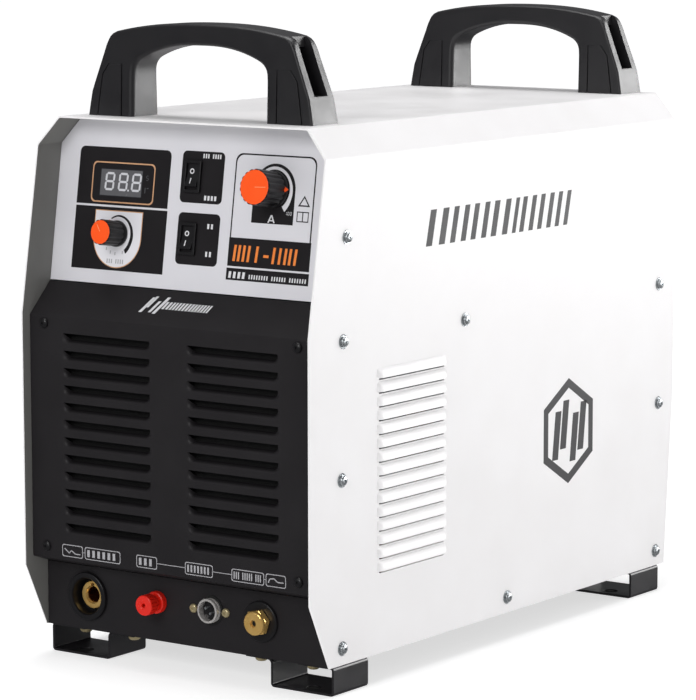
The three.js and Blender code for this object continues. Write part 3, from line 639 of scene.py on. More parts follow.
def build_cover():
    roof_half = HALF_WIDTH - CHAMFER_RUN
    path = rounded_path([
        (-HALF_WIDTH, BODY_FLOOR), (-HALF_WIDTH, SHOULDER), (-roof_half, ROOF),
        (roof_half, ROOF), (HALF_WIDTH, SHOULDER), (HALF_WIDTH, BODY_FLOOR)], 3.2, 6)
    heights = {LOWER_KINK, UPPER_KINK, REAR_KINK}
    for lip in LIPS:
        heights |= {lip - SLOT_BELOW, lip + SLOT_ABOVE}
    heights = sorted(heights)
    left = [(-HALF_WIDTH, z) for z in heights]
    right = [(HALF_WIDTH, z) for z in reversed(heights)]
    path = path[:1] + left + path[1:-1] + right + path[-1:]
    columns = [cover_front, lambda z: SLOT_FRONT, lambda z: SLOT_BACK, cover_back]
    points = [(x, column(z), z) for column in columns for x, z in path]
    faces = []
    for c in range(len(columns) - 1):
        for r in range(len(path) - 1):
            middle = (path[r][1] + path[r + 1][1]) / 2
            on_wall = abs(path[r][0]) == HALF_WIDTH == abs(path[r + 1][0])
            in_slot = any(lip - SLOT_BELOW < middle < lip + SLOT_ABOVE for lip in LIPS)
            if c == 1 and on_wall and in_slot:
                continue
            a = c * len(path) + r
            b = a + len(path)
            faces.append((a, a + 1, b + 1, b))
    skin = from_faces(points, faces, reorient=False)
    # the inner faces take the darker grey of painted shade
    cover = bevelled(thickened(skin, SHEET, inner_material=1), 0.3, 2, 60)
    piece("cover_shell", cover, ["white_coat", "cover_inside_shade"], replaces=["wrap_cover"])

    hoods = joined(*[louvre_hood(lip) for lip in LIPS])
    piece("side_louvres_right", hoods, "white_coat")
    piece("side_louvres_left", mirrored(hoods), "white_coat")


def louvre_hood(lip):
    """An outward-pressed louvre of the right wall: open below, closed at both ends."""
    height, ramp, sink = 8.3, 6.0, 0.3
    near = [0, 0.3, 0.8, 1.6, 2.7, 4.2, 6.0]
    depths = [LOUVRE_FRONT + d for d in near] + [LOUVRE_BACK - d for d in reversed(near)]
    rings = []
    for y in depths:
        inset = min(y - LOUVRE_FRONT, LOUVRE_BACK - y)
        swell = math.sqrt(max(0, 1 - (1 - min(inset / ramp, 1)) ** 2))
        ring = []
        for i in range(9):
            rise = 1 - i / 8
            reach = LOUVRE_REACH * swell * (1 - rise * rise)
            ring.append((HALF_WIDTH - sink + reach, y, lip + height * rise))
        rings.append(ring)
    return sheet_of(rings, 1.1)


# (y, z) of the cover's side screws
COVER_SCREWS = [(48, 348), (43, 270), (41, 165), (41, 36), (207, 269), (269.5, 36),
                (506, 268), (506.5, 165), (504, 36)]


def pan_head(radius, height, recess=0.5):
    """A cross-recessed pan head standing on w = 0."""
    profile = [(0, height), (radius * 0.35, height * 0.99), (radius * 0.68, height * 0.9),
               (radius * 0.88, height * 0.7), (radius * 0.98, height * 0.42),
               (radius, height * 0.12), (radius * 0.97, 0), (0, 0)]
    head = turned(profile, 32)
    arm = radius * 0.56
    wide = radius * 0.13
    cross = joined(
        block(-arm, arm, -wide, wide, height * recess, height * 2),
        block(-wide, wide, -arm, arm, height * recess, height * 2))
    core = wide * 1.9
    boss = block(-core, core, -core, core, height * (recess + 0.15), height * 2)
    return less(less(head, cross), boss)


def washer(inner, outer, w0, w1):
    return turned([(inner, w0), (outer - 0.15, w0), (outer, w0 + 0.15), (outer, w1 - 0.2),
                   (outer - 0.2, w1), (inner, w1), (inner, w0)], 32)


def build_cover_screws():
    head = joined(
        washer(2.2, 5.6, 0, 0.7),
        washer(2.2, 4.5, 0.7, 1.3),
        moved(pan_head(3.9, 2.2), z=1.3))
    for side, sign in SIDES.items():
        screws = []
        for number, (y, z) in enumerate(COVER_SCREWS):
            screws.append(moved(head, x=sign * y, y=z, turn=(17 + 41 * number, "Z")))
        piece(f"cover_screws_{side}", joined(*screws), "zinc", at=side_frame(sign))


FRONT_LOUVRES = [261.5 - 13.7 * i for i in range(12)]  # top edges
LOUVRE_CENTRES = (-61.5, 61.5)
LOUVRE_HALF = 45
LOUVRE_HEIGHT = 8.5
LOUVRE_TAPER = 1.8
BLADE_DEPTH = 6.2
BLADE_RISE = 3.1
FACE_TOP, FACE_FOOT = 272.9, 82.7  # heights where the louvre face turns into slope and shelf
SLOPE_TOP = (PANEL_FOOT[0] - 0.6, PANEL_FOOT[1] - 0.7)
FOLD = 2.0


def louvre_blade(centre, top):
    """The pressed-in blade of a front louvre, in (x, z, outwards)."""
    bottom = top - LOUVRE_HEIGHT
    ramp = 7.0
    near = [0, 0.4, 1, 1.9, 3.1, 4.8, ramp]
    across = [-LOUVRE_HALF + d for d in near] + [LOUVRE_HALF - d for d in reversed(near)]
    rings = []
    for u in across:
        inset = (LOUVRE_HALF - abs(u)) / ramp
        press = math.sin(min(inset, 1) * math.pi / 2) ** 1.2
        free = (top - bottom) * (1 - press) + BLADE_RISE * press
        ring = []
        for i in range(8):
            t = i / 7
            bend = t * math.pi / 2
            rise = free * (t * (1 - press) + math.sin(bend) * press)
            pull = LOUVRE_TAPER * rise / LOUVRE_HEIGHT * abs(u) / LOUVRE_HALF
            ring.append((centre + u - math.copysign(pull, u), bottom + rise,
                         -BLADE_DEPTH * press * (1 - math.cos(bend))))
        rings.append(ring)
    rings.reverse()
    return sheet_of(rings, 1.2)


def build_louvre_panel():
    holes, blades = [], []
    for top in FRONT_LOUVRES:
        bottom = top - LOUVRE_HEIGHT
        for c in LOUVRE_CENTRES:
            narrow = LOUVRE_HALF - LOUVRE_TAPER
            holes.append([(c - LOUVRE_HALF, bottom), (c + LOUVRE_HALF, bottom),
                          (c + narrow, top), (c - narrow, top)])
            blades.append(louvre_blade(c, top))
    edge = box_shape(-INNER_HALF, INNER_HALF, FACE_FOOT, FACE_TOP)[0]
    face = plate([edge, *holes], -SHEET, 0)
    at_face = front_frame(0, LOUVRE_FACE, 0)
    piece("louvre_face", joined(face, *blades), "black_coat", at=at_face,
          replaces=["louvre_panel"])

    # a near-black sheet behind the front louvres: painted shade for the dark inside seen through
    # them
    shade_sheet = block(-126, 126, 84, 266, -9.6, -9.0)
    piece("louvre_shade_sheet", bevelled(shade_sheet, 0.2, 1), "shade_black", at=at_face)

    slope = rounded_path([(LOUVRE_FACE, FACE_TOP - 3), (LOUVRE_FACE, UPPER_KINK - 2), SLOPE_TOP],
                         FOLD, 6)
    shelf = rounded_path([(CONNECTOR_FACE - 0.2, LOWER_KINK), (LOUVRE_FACE, LOWER_KINK + 6),
                          (LOUVRE_FACE, FACE_FOOT + 3)], FOLD, 6)
    # a lip behind the foot of the control panel, so that the seam does not show the inside
    lip_back, lip_level = PANEL_FOOT[0] + 5.4, PANEL_FOOT[1] - 1.3
    lip = rounded_path([(PANEL_FOOT[0] - 0.3, lip_level), (lip_back, lip_level),
                        (lip_back, PANEL_FOOT[1] + 5.0)], FOLD, 6)
    for name, *lines in (("louvre_slope", [(LOUVRE_FACE, FACE_TOP)] + slope[1:], lip),
                         ("louvre_shelf", shelf[:-1] + [(LOUVRE_FACE, FACE_FOOT)])):
        sheets = [swept_sheet(line, INNER_HALF, -INNER_HALF, SHEET) for line in lines]
        piece(name, joined(*sheets), "black_coat")

    head = bevelled(pan_head(4.1, 2.4), 0.12, 1)
    screws = [moved(head, x, z, turn=(25 + 37 * k, "Z")) for k, (x, z) in
              enumerate([(-123.5, 268), (123.5, 268), (-123.5, 90.5), (123.5, 90.5)])]
    piece("louvre_screws", joined(*screws), "black_plastic", at=at_face,
          replaces=[f"louvre_panel_screw_{i}" for i in (1, 2, 3, 4)])


def build_connector_panel():
    edge = box_shape(-INNER_HALF, INNER_HALF, BODY_FLOOR + 0.2, LOWER_KINK - 0.5)[0]
    holes = [circle(*place, r, 32) for place, r in
             ((EARTH_SOCKET, 15.6), (PILOT_POST, 4.4), (CONTROL_SOCKET, 8.4), (TORCH_SOCKET, 8.4))]
    piece("connector_plate", plate([edge, *holes], -SHEET, 0, 0.15), "black_coat",
          at=front_frame(0, CONNECTOR_FACE, 0), replaces=["connector_panel"])


# ------------------------------------------------------------------ handles
GRIP_HEIGHT = 73.7
GRIP_ARCH = 56.7
GRIP_DEPTH = 34
GRIP_FRONTS = {"front": 47.5, "rear": 491.5}
GRIP_TAPER = 2.2  # how much each face leans in over the whole height
GRIP_INSIDE = 4.0  # radius of the edges towards the hand
END_POCKET = [(125, 21), (82, 21), (77, 57), (83.6, 57.5), (83.6, 90), (125, 90)]


def handle_stations():
    """(outer, inner) pairs of (x, height) from the right foot to the crown."""
    leg = [
        ((108.7, 0), (64.5, 0)), ((107.4, 8), (64.5, 8)), ((105.4, 19), (64.5, 17)),
        ((102.4, 27), (64.5, 24)), ((98.5, 37), (64.4, 32)), ((93.8, 49), (64.0, 36.6)),
        ((91.6, 55), (63.2, 39.4)), ((90.0, 59.2), (62.0, 41.6)), ((88.7, 62.0), (60.2, 43.6)),
        ((86.5, 64.3), (57.6, 45.5)), ((82.7, 66.0), (54.5, 47.0)),
    ]
    outer_end, inner_end = leg[-1]
    steps = 18
    crown = []
    for i in range(1, steps + 1):
        share = 1 - i / steps
        crown.append((
            (outer_end[0] * share,
             outer_end[1] + (GRIP_HEIGHT - outer_end[1]) * (1 - share ** 2.3)),
            (inner_end[0] * share,
             inner_end[1] + (GRIP_ARCH - inner_end[1]) * (1 - share ** 2.5))))
    return leg + crown


def handle_mesh():
    stations = handle_stations()
    left = [tuple((-x, z) for x, z in pair) for pair in reversed(stations[:-1])]
    rings = []
    for outer, inner in stations + left:
        outer, inner = Vector(outer), Vector(inner)
        half = GRIP_DEPTH / 2 - GRIP_TAPER * outer.y / GRIP_HEIGHT
        along = (inner - outer).normalized()
        length = (inner - outer).length
        crest = min(1, max(0, (outer.y - 56) / 8))
        edge = 1.6 + 1.4 * crest  # the outer side is rounded over more on the crown
        reach = 1.6 + 3.6 * crest
        profile = []
        for i in range(8):
            a = math.radians(90 * i / 7)
            profile.append((edge * (1 - math.sin(a)), half - reach * (1 - math.cos(a))))
        front = [(u, -v) for u, v in profile]
        ring = front[::-1]
        ring += arc(length - GRIP_INSIDE, GRIP_INSIDE - half, GRIP_INSIDE, 270, 360, 6)
        ring += arc(length - GRIP_INSIDE, half - GRIP_INSIDE, GRIP_INSIDE, 0, 90, 6)
        ring += profile
        rings.append([((outer + along * u).x, v, (outer + along * u).y) for u, v in ring])
    body = lofted(rings)
    slot = prism_y(END_POCKET, -8.4, 8.4)
    body = less(body, slot, mirrored(slot))
    return less(body, *handle_trenches())


def prism_y(outline, y0, y1):
    """A prism along y from an (x, z) outline."""
    return lofted([[(x, y, z) for x, z in outline] for y in (y0, y1)])


def handle_trenches():
    """Narrow grooves that frame the screw cover on each face of each leg."""
    tools = []
    for face in (-1, 1):
        for line in ([(75.2, -1), (75.2, 41)], [(99.2, -1), (96.2, 21), (94.3, 32.5), (88.0, 41)]):
            outline = [(x - 0.5, z) for x, z in line] + [(x + 0.5, z) for x, z in line[::-1]]
            cut = prism_y(outline, *sorted((face * 15.0, face * 18.5)))
            tools += [cut, mirrored(cut)]
    return tools


def build_handles():
    body = handle_mesh()
    outline = [(75.8, 0.3), (98.7, 0.3), (95.7, 21), (93.8, 32.2), (87.6, 40.5), (75.8, 40.5)]
    lean = Matrix.Identity(4)
    lean[2][1] = -GRIP_TAPER / GRIP_HEIGHT
    covers = []
    for turn in (front_frame, rear_frame):
        for sign in (1, -1):
            cover = plate([[(sign * x, z) for x, z in outline]], -1.2, 0.25, 0.25)
            cover.transform(lean)
            covers.append((turn, cover))
    for name, front in GRIP_FRONTS.items():
        at = upright_frame(0, front + GRIP_DEPTH / 2, ROOF)
        piece(f"{name}_grip", body, "handle_plastic", at=at, replaces=[f"{name}_handle"])
        for number, (turn, cover) in enumerate(covers):
            depth = front if turn is front_frame else front + GRIP_DEPTH
            piece(f"{name}_grip_cover_{number + 1}", cover, "handle_plastic",
                  at=turn(0, depth, ROOF))


# ------------------------------------------------------------------ feet
FOOT_OUTER, FOOT_INNER, FOOT_LENGTH, FOOT_SHEET = 139, 79.5, 45, 2
FOOT_FRONTS = {"front": 31.5, "rear": 466}
FOOT_SCREWS = (63, 112.5)
FOOT_SCREW_Y = 10.5


def build_feet():
    top = BODY_FLOOR - 0.1
    line = rounded_path([
        (FOOT_INNER - 24, top - FOOT_SHEET), (FOOT_INNER, top - FOOT_SHEET), (FOOT_INNER, 0),
        (FOOT_OUTER, 0), (FOOT_OUTER, top), (FOOT_OUTER - 34, top)], 3.0, 6)
    rings = [[(x, y, z) for x, z in line] for y in (FOOT_LENGTH, 0)]
    strip = sheet_of(rings, FOOT_SHEET)
    hole = turned([(0, -2), (6, -2), (6, 5), (0, 5)], 32)
    strip = bevelled(less(strip, moved(hole, FOOT_SCREWS[1], FOOT_SCREW_Y)), 0.3, 2, 50)
    head = joined(washer(2.4, 6.4, 0, 1.2), moved(pan_head(5.0, 3.4), z=1.2))
    for end, front in FOOT_FRONTS.items():
        for side, sign in SIDES.items():
            at = upright_frame(0, front)
            shape = strip if sign > 0 else mirrored(strip)
            piece(f"channel_foot_{end}_{side}", shape, "foot_coat", at=at,
                  replaces=[f"foot_{end}_{side}"])
            # a dark disc in the rubber colour closing the screw hole of each foot: painted shade
            # for the shaded floor seen through the hole
            hole_shade = turned([(0, 0.3), (5.95, 0.3), (5.95, 1.3), (5.4, 1.6), (0, 1.6)], 32)
            piece(f"foot_hole_shade_{end}_{side}", hole_shade, "rubber",
                  at=upright_frame(sign * FOOT_SCREWS[1], front + FOOT_SCREW_Y))
            for number, x in enumerate(FOOT_SCREWS):
                under = top - FOOT_SHEET
                piece(f"foot_screw_{end}_{side}_{number + 1}", head, "zinc_yellow",
                      at=under_frame(sign * x, front + FOOT_SCREW_Y, under))


# ------------------------------------------------------------------ control panel
def ring_of(outline, width):
    """A closed frame line: the outline and its copy pulled in towards the middle."""
    cu = (min(p[0] for p in outline) + max(p[0] for p in outline)) / 2
    cv = (min(p[1] for p in outline) + max(p[1] for p in outline)) / 2
    hu = max(p[0] for p in outline) - cu
    hv = max(p[1] for p in outline) - cv
    inner = [(cu + (u - cu) * (hu - width) / hu, cv + (v - cv) * (hv - width) / hv)
             for u, v in outline]
    return [outline, inner]


def decal(name, shapes, mat, level=1, at=None):
    """Thin printed shapes; each shape is a list of outlines, the first the outer one."""
    sheets = [plate(shape, -0.03, 0.07 * level) for shape in shapes]
    piece(name, joined(*sheets), mat, at=at or panel_frame())


def box_shape(u0, u1, v0, v1):
    return [[(u0, v0), (u1, v0), (u1, v1), (u0, v1)]]


def strokes(u0, u1, v0, v1, groups, lean=0.0, share=0.45):
    """Groups of short upright strokes that stand in for a line of small print."""
    count = sum(groups) + len(groups) - 1
    pitch = (u1 - u0) / count
    shapes = []
    slot = 0
    for size in groups:
        for _ in range(size):
            u = u0 + slot * pitch
            shapes.append(slanted(u, u + pitch * share, v0, v1, lean * (v1 - v0)))
            slot += 1
        slot += 1
    return shapes


def sweep_band(cx, cy, stops, steps=40):
    """A band round a centre from (angle, inner radius, outer radius) stops."""
    def at(angle, column):
        for (a0, *r0), (a1, *r1) in zip(stops, stops[1:]):
            if (a0 - angle) * (a1 - angle) <= 0:
                t = 0 if a1 == a0 else (angle - a0) / (a1 - a0)
                return r0[column] + (r1[column] - r0[column]) * t
        return stops[-1][1 + column]
    start, end = stops[0][0], stops[-1][0]
    angles = [start + (end - start) * i / steps for i in range(steps + 1)]

    def spot(a, r):
        return cx + r * math.cos(math.radians(a)), cy + r * math.sin(math.radians(a))
    return [[spot(a, at(a, 1)) for a in angles] + [spot(a, at(a, 0)) for a in reversed(angles)]]


def seven_segments(cx, cy, width, height, lean, stroke, lit):
    """The bars of one seven-segment figure; lit names the bars, a to g."""
    w, h, t, g = width / 2, height / 2, stroke / 2, 0.16
    def bar(u0, v0, u1, v1):
        along = Vector((u1 - u0, v1 - v0)).normalized()
        across = Vector((-along.y, along.x)) * t
        a, b = Vector((u0, v0)) + along * g, Vector((u1, v1)) - along * g
        point = along * t
        line = [a, a + point + across, b - point + across, b, b - point - across,
                a + point - across]
        return [[(cx + p.x + lean * p.y, cy + p.y) for p in line]]
    x, y = w - t, h - t
    bars = {"a": (-x, y, x, y), "b": (x, y, x, 0), "c": (x, 0, x, -y), "d": (-x, -y, x, -y),
            "e": (-x, -y, -x, 0), "f": (-x, 0, -x, y), "g": (-x, 0, x, 0)}
    return [bar(*bars[name]) for name in lit]


def window(x, s, half_width, half_height):
    return box_shape(x - half_width, x + half_width, s - half_height, s + half_height)[0]


# centres on the control panel: across, and up along it
CURRENT_DIAL = (73.8, 82.2)
GAS_DIAL = (-73.9, 39.9)
SWITCHES = {"gas_test": (-4, 88), "trigger_mode": (-4, 40)}
DISPLAY_WINDOW = window(-74.4, 79.5, 21.0, 10.6)


def build_control_panel():
    top = (427.5 - PANEL_FOOT[1]) / math.cos(PANEL_TILT)
    shoulder = (406.3 - PANEL_FOOT[1]) / math.cos(PANEL_TILT)
    edge = [(-INNER_HALF, 0.2), (INNER_HALF, 0.2), (INNER_HALF, shoulder), (ROOF_HALF, top),
            (-ROOF_HALF, top), (-INNER_HALF, shoulder)]
    holes = [DISPLAY_WINDOW, *(window(*place, 6.9, 11.2) for place in SWITCHES.values()),
             circle(*CURRENT_DIAL, 5, 24), circle(*GAS_DIAL, 5, 24)]
    piece("control_face", plate([edge, *holes], -SHEET, 0), "silver_panel", at=panel_frame(),
          replaces=["control_panel"])

    upper = rounded(-118.0, -26.8, 61.9, 107, 4.6, corners=(0, 0, 1, 1))
    decal("print_display_block", [[upper, DISPLAY_WINDOW]], "print_black")
    decal("print_gas_block", [box_shape(-118.0, -26.4, 11.0, 60.3)], "print_black")
    decal("print_switch_blocks", [[rounded(-15.6, 25.2, 67.9, 107.8, 4)],
                                  [rounded(-15.0, 25.5, 20.3, 60.3, 4)]], "print_black")
    dial = rounded(35.9, 112.3, 40, 108.3, 6.5, corners=(0, 0, 1, 1))
    decal("print_dial_outline", [ring_of(dial, 1.15)], "print_black")
    decal("print_name_band", [box_shape(35.7, 112.9, 22.1, 43.9)], "print_black", 2)
    decal("print_line_band", [box_shape(35.4, 113.1, 11.5, 20.6)], "print_black", 2)
    tomb = arc(74.5, 82.2, 19.6, 0, 180, 28) + [(54.9, 56.1), (94.1, 56.1)]
    decal("print_current_block", [[tomb]], "print_black")
    decal("print_display_frame", [ring_of(rounded(-103.9, -41.4, 63.7, 95.6, 4), 1.05)],
          "print_amber", 2)

    def shield(grow):
        u = 23.5 + grow
        x, top = GAS_DIAL[0], 57.5 + grow
        return arc(x, 36.9, u, 180, 360, 28) + [(x + u, top), (x - u, top)]
    decal("print_gas_rim", [[shield(0.35)]], "print_amber", 2)
    decal("print_gas_field", [[shield(-0.35)]], "print_pale", 3)
    gas_sweep = sweep_band(*GAS_DIAL, [
        (122, 12.9, 14.0), (95, 13.3, 14.6), (50, 13.1, 15.0), (6, 12.9, 15.5),
        (-29, 13.2, 16.3), (-58, 14.4, 17.8)])
    ticks = []
    for angle in (-129, -111, -93, -66):
        [(u, v)] = arc(*GAS_DIAL, 15.7, angle, angle, 1)[:1]
        ticks.append([window(u, v, 0.45, 1.2)])
    decal("print_gas_scale", [gas_sweep], "print_black", 4)
    decal("print_gas_marks", ticks + strokes(-82.5, -64.8, 16.6, 20.0, (3, 4)), "print_grey", 4)

    crescent = sweep_band(*CURRENT_DIAL, [
        (205, 15.1, 15.9), (150, 15.1, 16.9), (93, 15.1, 17.4), (30, 15.1, 17.4), (0, 15.1, 17.8),
        (-23, 15.0, 18.3), (-55, 15.4, 20.0)])
    decal("print_current_scale", [crescent], "print_pale", 2)
    unit = [[[(70.3, 56.9), (71.6, 56.9), (73.75, 61.6), (75.9, 56.9), (77.2, 56.9), (74.5, 62.8),
              (73.0, 62.8)]], box_shape(71.9, 75.6, 58.1, 59.0)]
    scale_end = []
    for number, lit in enumerate(("bc", "abcdef", "abcdef")):
        scale_end += seven_segments(86.9 + 2.35 * number, 64.7, 1.7, 2.9, 0.05, 0.4, lit)
    decal("print_current_unit", unit + scale_end, "print_white", 2)

    stripes = [slanted(u, u + 2.3, 26.0, 38.4, 1.1) for u in
               (40.2, 44.4, 48.9, 53.6, 61.2, 77.2, 83.0, 88.2, 92.6, 97.6)]
    stripes.append(slanted(69.2, 74.2, 30.2, 32.3, 0.15))
    decal("print_orange_stripes", stripes, "print_orange", 3)
    decal("print_line_strokes", strokes(37.6, 55.0, 13.0, 18.0, (4,), 0.08, 0.55)
          + strokes(57.0, 112.0, 13.2, 16.5, (8, 6, 7), 0.05, 0.5), "print_white", 3)
    decal("print_switch_marks", strokes(4.2, 22.6, 102.6, 106.0, (3, 4), 0, 0.55)
          + strokes(8.2, 21.2, 70.4, 74.0, (4,), 0, 0.6)
          + strokes(13.6, 20.8, 48.7, 52.6, (2,), 0, 0.5)
          + strokes(13.8, 21.1, 27.4, 31.4, (2,), 0, 0.5), "print_white", 2)
    triangle = [(97.6, 70.7), (108.9, 70.7), (103.2, 79.0)]
    inner = [(99.6, 71.8), (106.9, 71.8), (103.2, 77.2)]
    decal("print_side_icons", [[triangle, inner],
                               ring_of(box_shape(97.2, 108.3, 58.9, 66.9)[0], 0.8),
                               box_shape(102.3, 103.2, 59.3, 66.5)], "print_slate")

    build_display()


def build_display():
    x0, x1, s0, s1 = -95.3, -53.5, 68.9, 90.1
    body = plate(box_shape(x0, x1, s0, s1), -1.6, 0.28, 0.2)
    piece("display_window", body, "smoked_lens", at=panel_frame(), replaces=["display_lens"])
    decal("display_glass", [box_shape(x0 + 0.5, x1 - 0.4, s0 + 0.5, s1 - 0.5)], "display_face", 5)
    lit = []
    for cx in (-85.7, -72.3, -59.1):
        lit += seven_segments(cx, 80.4, 9.4, 14.3, 0.07, 1.75, "abcdefg")
    lit.append([circle(-66.8, 74.0, 0.85, 14)])
    decal("display_figures", lit, "digit", 6)
    side = [box_shape(-50.6, -49.9, 72.6, 77.0), box_shape(-48.6, -46.9, 76.2, 76.9)]
    side += seven_segments(-48.8, 84.5, 2.6, 4.0, 0.05, 0.5, "afgcd")
    decal("display_side_marks", side, "digit_dim", 2)


# ------------------------------------------------------------------ knobs and rockers
def fluted(radius, flutes, depth, steps=10):
    """A circle with a number of dips round it."""
    points = []
    for i in range(flutes * steps):
        angle = 2 * math.pi * i / (flutes * steps)
        dip = depth * (0.5 + 0.5 * math.cos(angle * flutes)) ** 1.7
        r = radius - dip
        points.append((r * math.cos(angle), r * math.sin(angle)))
    return points


def build_knob(name, place, radius, reach, pointer, flutes):
    """A knob as tall as reach, whose pointer stands at an angle in degrees."""
    at = panel_frame(*place)
    body = f"{name}_dial"
    skirt = turned([(0, 1.0), (radius, 1.0), (radius, 2.2), (radius - 0.5, 3.2),
                    (radius - 1.2, 4.0), (radius - 1.6, 4.3), (0, 4.3)], 64)
    grip_radius = radius - 0.25
    top = reach - 0.3
    rings = []
    for w, shrink in ((4.1, 0.5), (5.2, 0.4), (top - 1.0, 0.0), (top - 0.35, 0.1), (top, 0.4)):
        scale = (grip_radius - shrink) / grip_radius
        rings.append([(u * scale, v * scale, w) for u, v in fluted(grip_radius, flutes, 0.9)])
    bore = turned([(0, -1), (3.3, -1), (3.3, 12), (0, 12)], 24)
    piece(f"{name}_grip", less(lofted(rings), bore), "black_plastic", body=body, at=at,
          replaces=[f"{name}_knob"])
    piece(f"{name}_skirt", less(skirt, bore), "black_plastic", body=body, at=at)
    rim = washer(radius - 2.3, radius - 1.75, 4.2, 4.38)
    piece(f"{name}_skirt_line", rim, "print_grey", body=body, at=at)

    cap_radius = grip_radius - 0.95
    cap = turned([(0, top - 0.4), (cap_radius, top - 0.4), (cap_radius, reach - 0.2),
                  (cap_radius - 0.3, reach - 0.06), (cap_radius - 0.9, reach - 0.02),
                  (0, reach - 0.02)], 64)
    piece(f"{name}_cap", cap, "orange_plastic", body=body, at=at, replaces=[f"{name}_knob_cap"])
    turn = Matrix.Rotation(math.radians(pointer), 4, "Z")
    line = block(0.5, cap_radius - 2.4, -0.22, 0.22, reach - 0.3, reach)
    line.transform(turn)
    piece(f"{name}_cap_line", line, "cap_line", body=body, at=at)
    base, tip = radius - 2.4, radius + 1.3
    arrow = outline_prism([(base, -2.7), (tip, 0), (base, 2.7)], 3.4, 4.6)
    arrow = moved(arrow, turn=(9, "Y"), z=1.6 if radius > 12 else 1.1)  # lies on the skirt
    arrow.transform(turn)
    piece(f"{name}_pointer", arrow, "orange_plastic", body=body, at=at)


def build_switch(name, place):
    at = panel_frame(*place)
    outer = rounded(-8.3, 8.3, -12.5, 12.5, 1.2)
    inner = rounded(-5.9, 5.9, -10.2, 10.2, 0.5)
    bezel = plate([outer, inner], 0.3, 2.5, 0.45)
    can = less(block(-6.6, 6.6, -10.9, 10.9, -16, 0.6), block(-5.9, 5.9, -10.2, 10.2, -11, 4))
    piece(f"{name}_switch_bezel", joined(bezel, can), "black_plastic", at=at,
          replaces=[f"{name}_switch_frame"])

    body = f"{name}_rocker"
    profile = [(8.8, 5.26), (6, 4.75), (3, 4.28), (0, 4.05), (-3, 4.28), (-6, 4.75), (-8.8, 5.26),
               (-8.9, 4.6), (-8.4, 0.5), (-3, -2), (3, -2), (8.4, 0.5), (8.9, 4.6)]
    key = lofted([[(u, v, w) for v, w in profile] for u in (-5.5, 5.5)])
    key = bevelled(key, 0.3, 2, 40)
    tilt = panel_frame(*place, 3) @ Matrix.Rotation(math.radians(-11), 4, "X")
    piece(f"{name}_rocker_key", key, "black_plastic", body=body, at=tilt, replaces=[body])
    slope = math.atan(1.26 / 8.8)
    for mark, sign, shape, middle in (
            ("off", 1, [circle(0, 0, 2.1, 28), circle(0, 0, 1.25, 28)], 3.4),
            ("on", -1, box_shape(-0.42, 0.42, -2.3, 2.3), -4.3)):
        seat = Matrix.Translation((-0.9, middle, 4.09 + abs(middle) * 0.118))
        seat = seat @ Matrix.Rotation(sign * slope * 0.8, 4, "X")
        piece(f"{name}_mark_{mark}", plate(shape, -0.2, 0.14), "print_white", body=body,
              at=tilt @ seat)


def build_controls():
    build_knob("current", CURRENT_DIAL, 14.2, 25, 2, 18)
    build_knob("gas_flow", GAS_DIAL, 10.4, 21.7, 122, 14)
    for name, place in SWITCHES.items():
        build_switch(name, place)


# ------------------------------------------------------------------ lead connections
def hexagon(radius, w0, w1, chamfer=0.5, turn=0):
    """A six-sided nut with chamfered ends."""
    outline = polygon(0, 0, radius, 6, turn)
    scale = 1 - chamfer / radius
    small = [(u * scale, v * scale) for u, v in outline]
    return lofted([[(u, v, w) for u, v in ring] for ring, w in (
        (small, w0), (outline, w0 + chamfer * 0.6), (outline, w1 - chamfer * 0.6), (small, w1))])


def connector_frame(place):
    return front_frame(place[0], CONNECTOR_FACE, place[1])


def build_earth_socket():
    at = connector_frame(EARTH_SOCKET)
    shell = turned([(15.2, -30), (15.2, 0.2), (18.9, 0.2), (19.3, 0.7), (19.3, 2.4), (18.9, 3.1),
                    (18.3, 3.45), (16.0, 3.5), (15.2, 3.3), (14.6, 2.6), (14.2, 1.6), (14.2, -9),
                    (11.4, -9), (11.4, -30), (15.2, -30)], 64)
    piece("earth_socket_ring", shell, "black_plastic", at=at, replaces=["earth_socket_body"])
    insert = turned([(0, -4.8), (10.4, -4.8), (10.8, -5.0), (11, -5.6), (11, -40), (6, -40),
                     (6, -52), (0, -52)], 48)
    bore = turned([(0, -3), (7.4, -3), (7.2, -5.4), (6.4, -6.6), (6.3, -34), (0, -34)], 48)
    key = block(-1.7, 1.7, 5, 9.4, -15, -3)
    piece("earth_socket_brass", less(less(insert, bore), key), "brass", at=at,
          replaces=["earth_socket_insert"])
    # a thin sleeve of darker brass inside the bore: painted shade for the deep hollow
    bore_shade = turned([(6.25, -7), (6.25, -33.5), (5.8, -33.5), (5.8, -7), (6.25, -7)], 48)
    bore_shade = less(bore_shade, block(-1.8, 1.8, 4, 9.4, -16, -3))
    piece("earth_socket_bore_shade", bore_shade, "brass_in_shade", at=at)


def build_pilot_post():
    at = connector_frame(PILOT_POST)
    collar = turned([(0, -14), (4, -14), (4, 0.2), (8.3, 0.2), (8.8, 0.6), (8.8, 4.2), (8.5, 4.9),
                     (7.8, 5.35), (0, 5.4)], 48)
    piece("pilot_post_collar", collar, "red_plastic", at=at, replaces=["pilot_post_base"])
    cap = turned([(0, 5.75), (6.3, 5.75), (6.4, 8.6), (7.6, 9.6), (8.1, 10.4), (8.1, 17.4),
                  (7.85, 18.2), (7.2, 18.7), (3.2, 18.75), (2.6, 18.3), (0, 18.3)], 48)
    ribs = [moved(block(7.6, 8.6, -0.35, 0.35, 11, 17.2), turn=(20 * k, "Z")) for k in range(18)]
    hole = turned([(0, 12), (1.7, 12), (1.7, 22), (0, 22)], 20)
    piece("pilot_post_knurl", less(cap, hole, *ribs), "red_plastic", body="pilot_post_nut", at=at,
          replaces=["pilot_post_cap"])
    # a near-black disc at the bottom of the cap's hole: painted shade for the hollow
    piece("pilot_post_hole_shade", turned([(0, 12.2), (1.5, 12.2), (1.5, 14), (0, 14)], 20),
          "shade_black", body="pilot_post_nut", at=at)


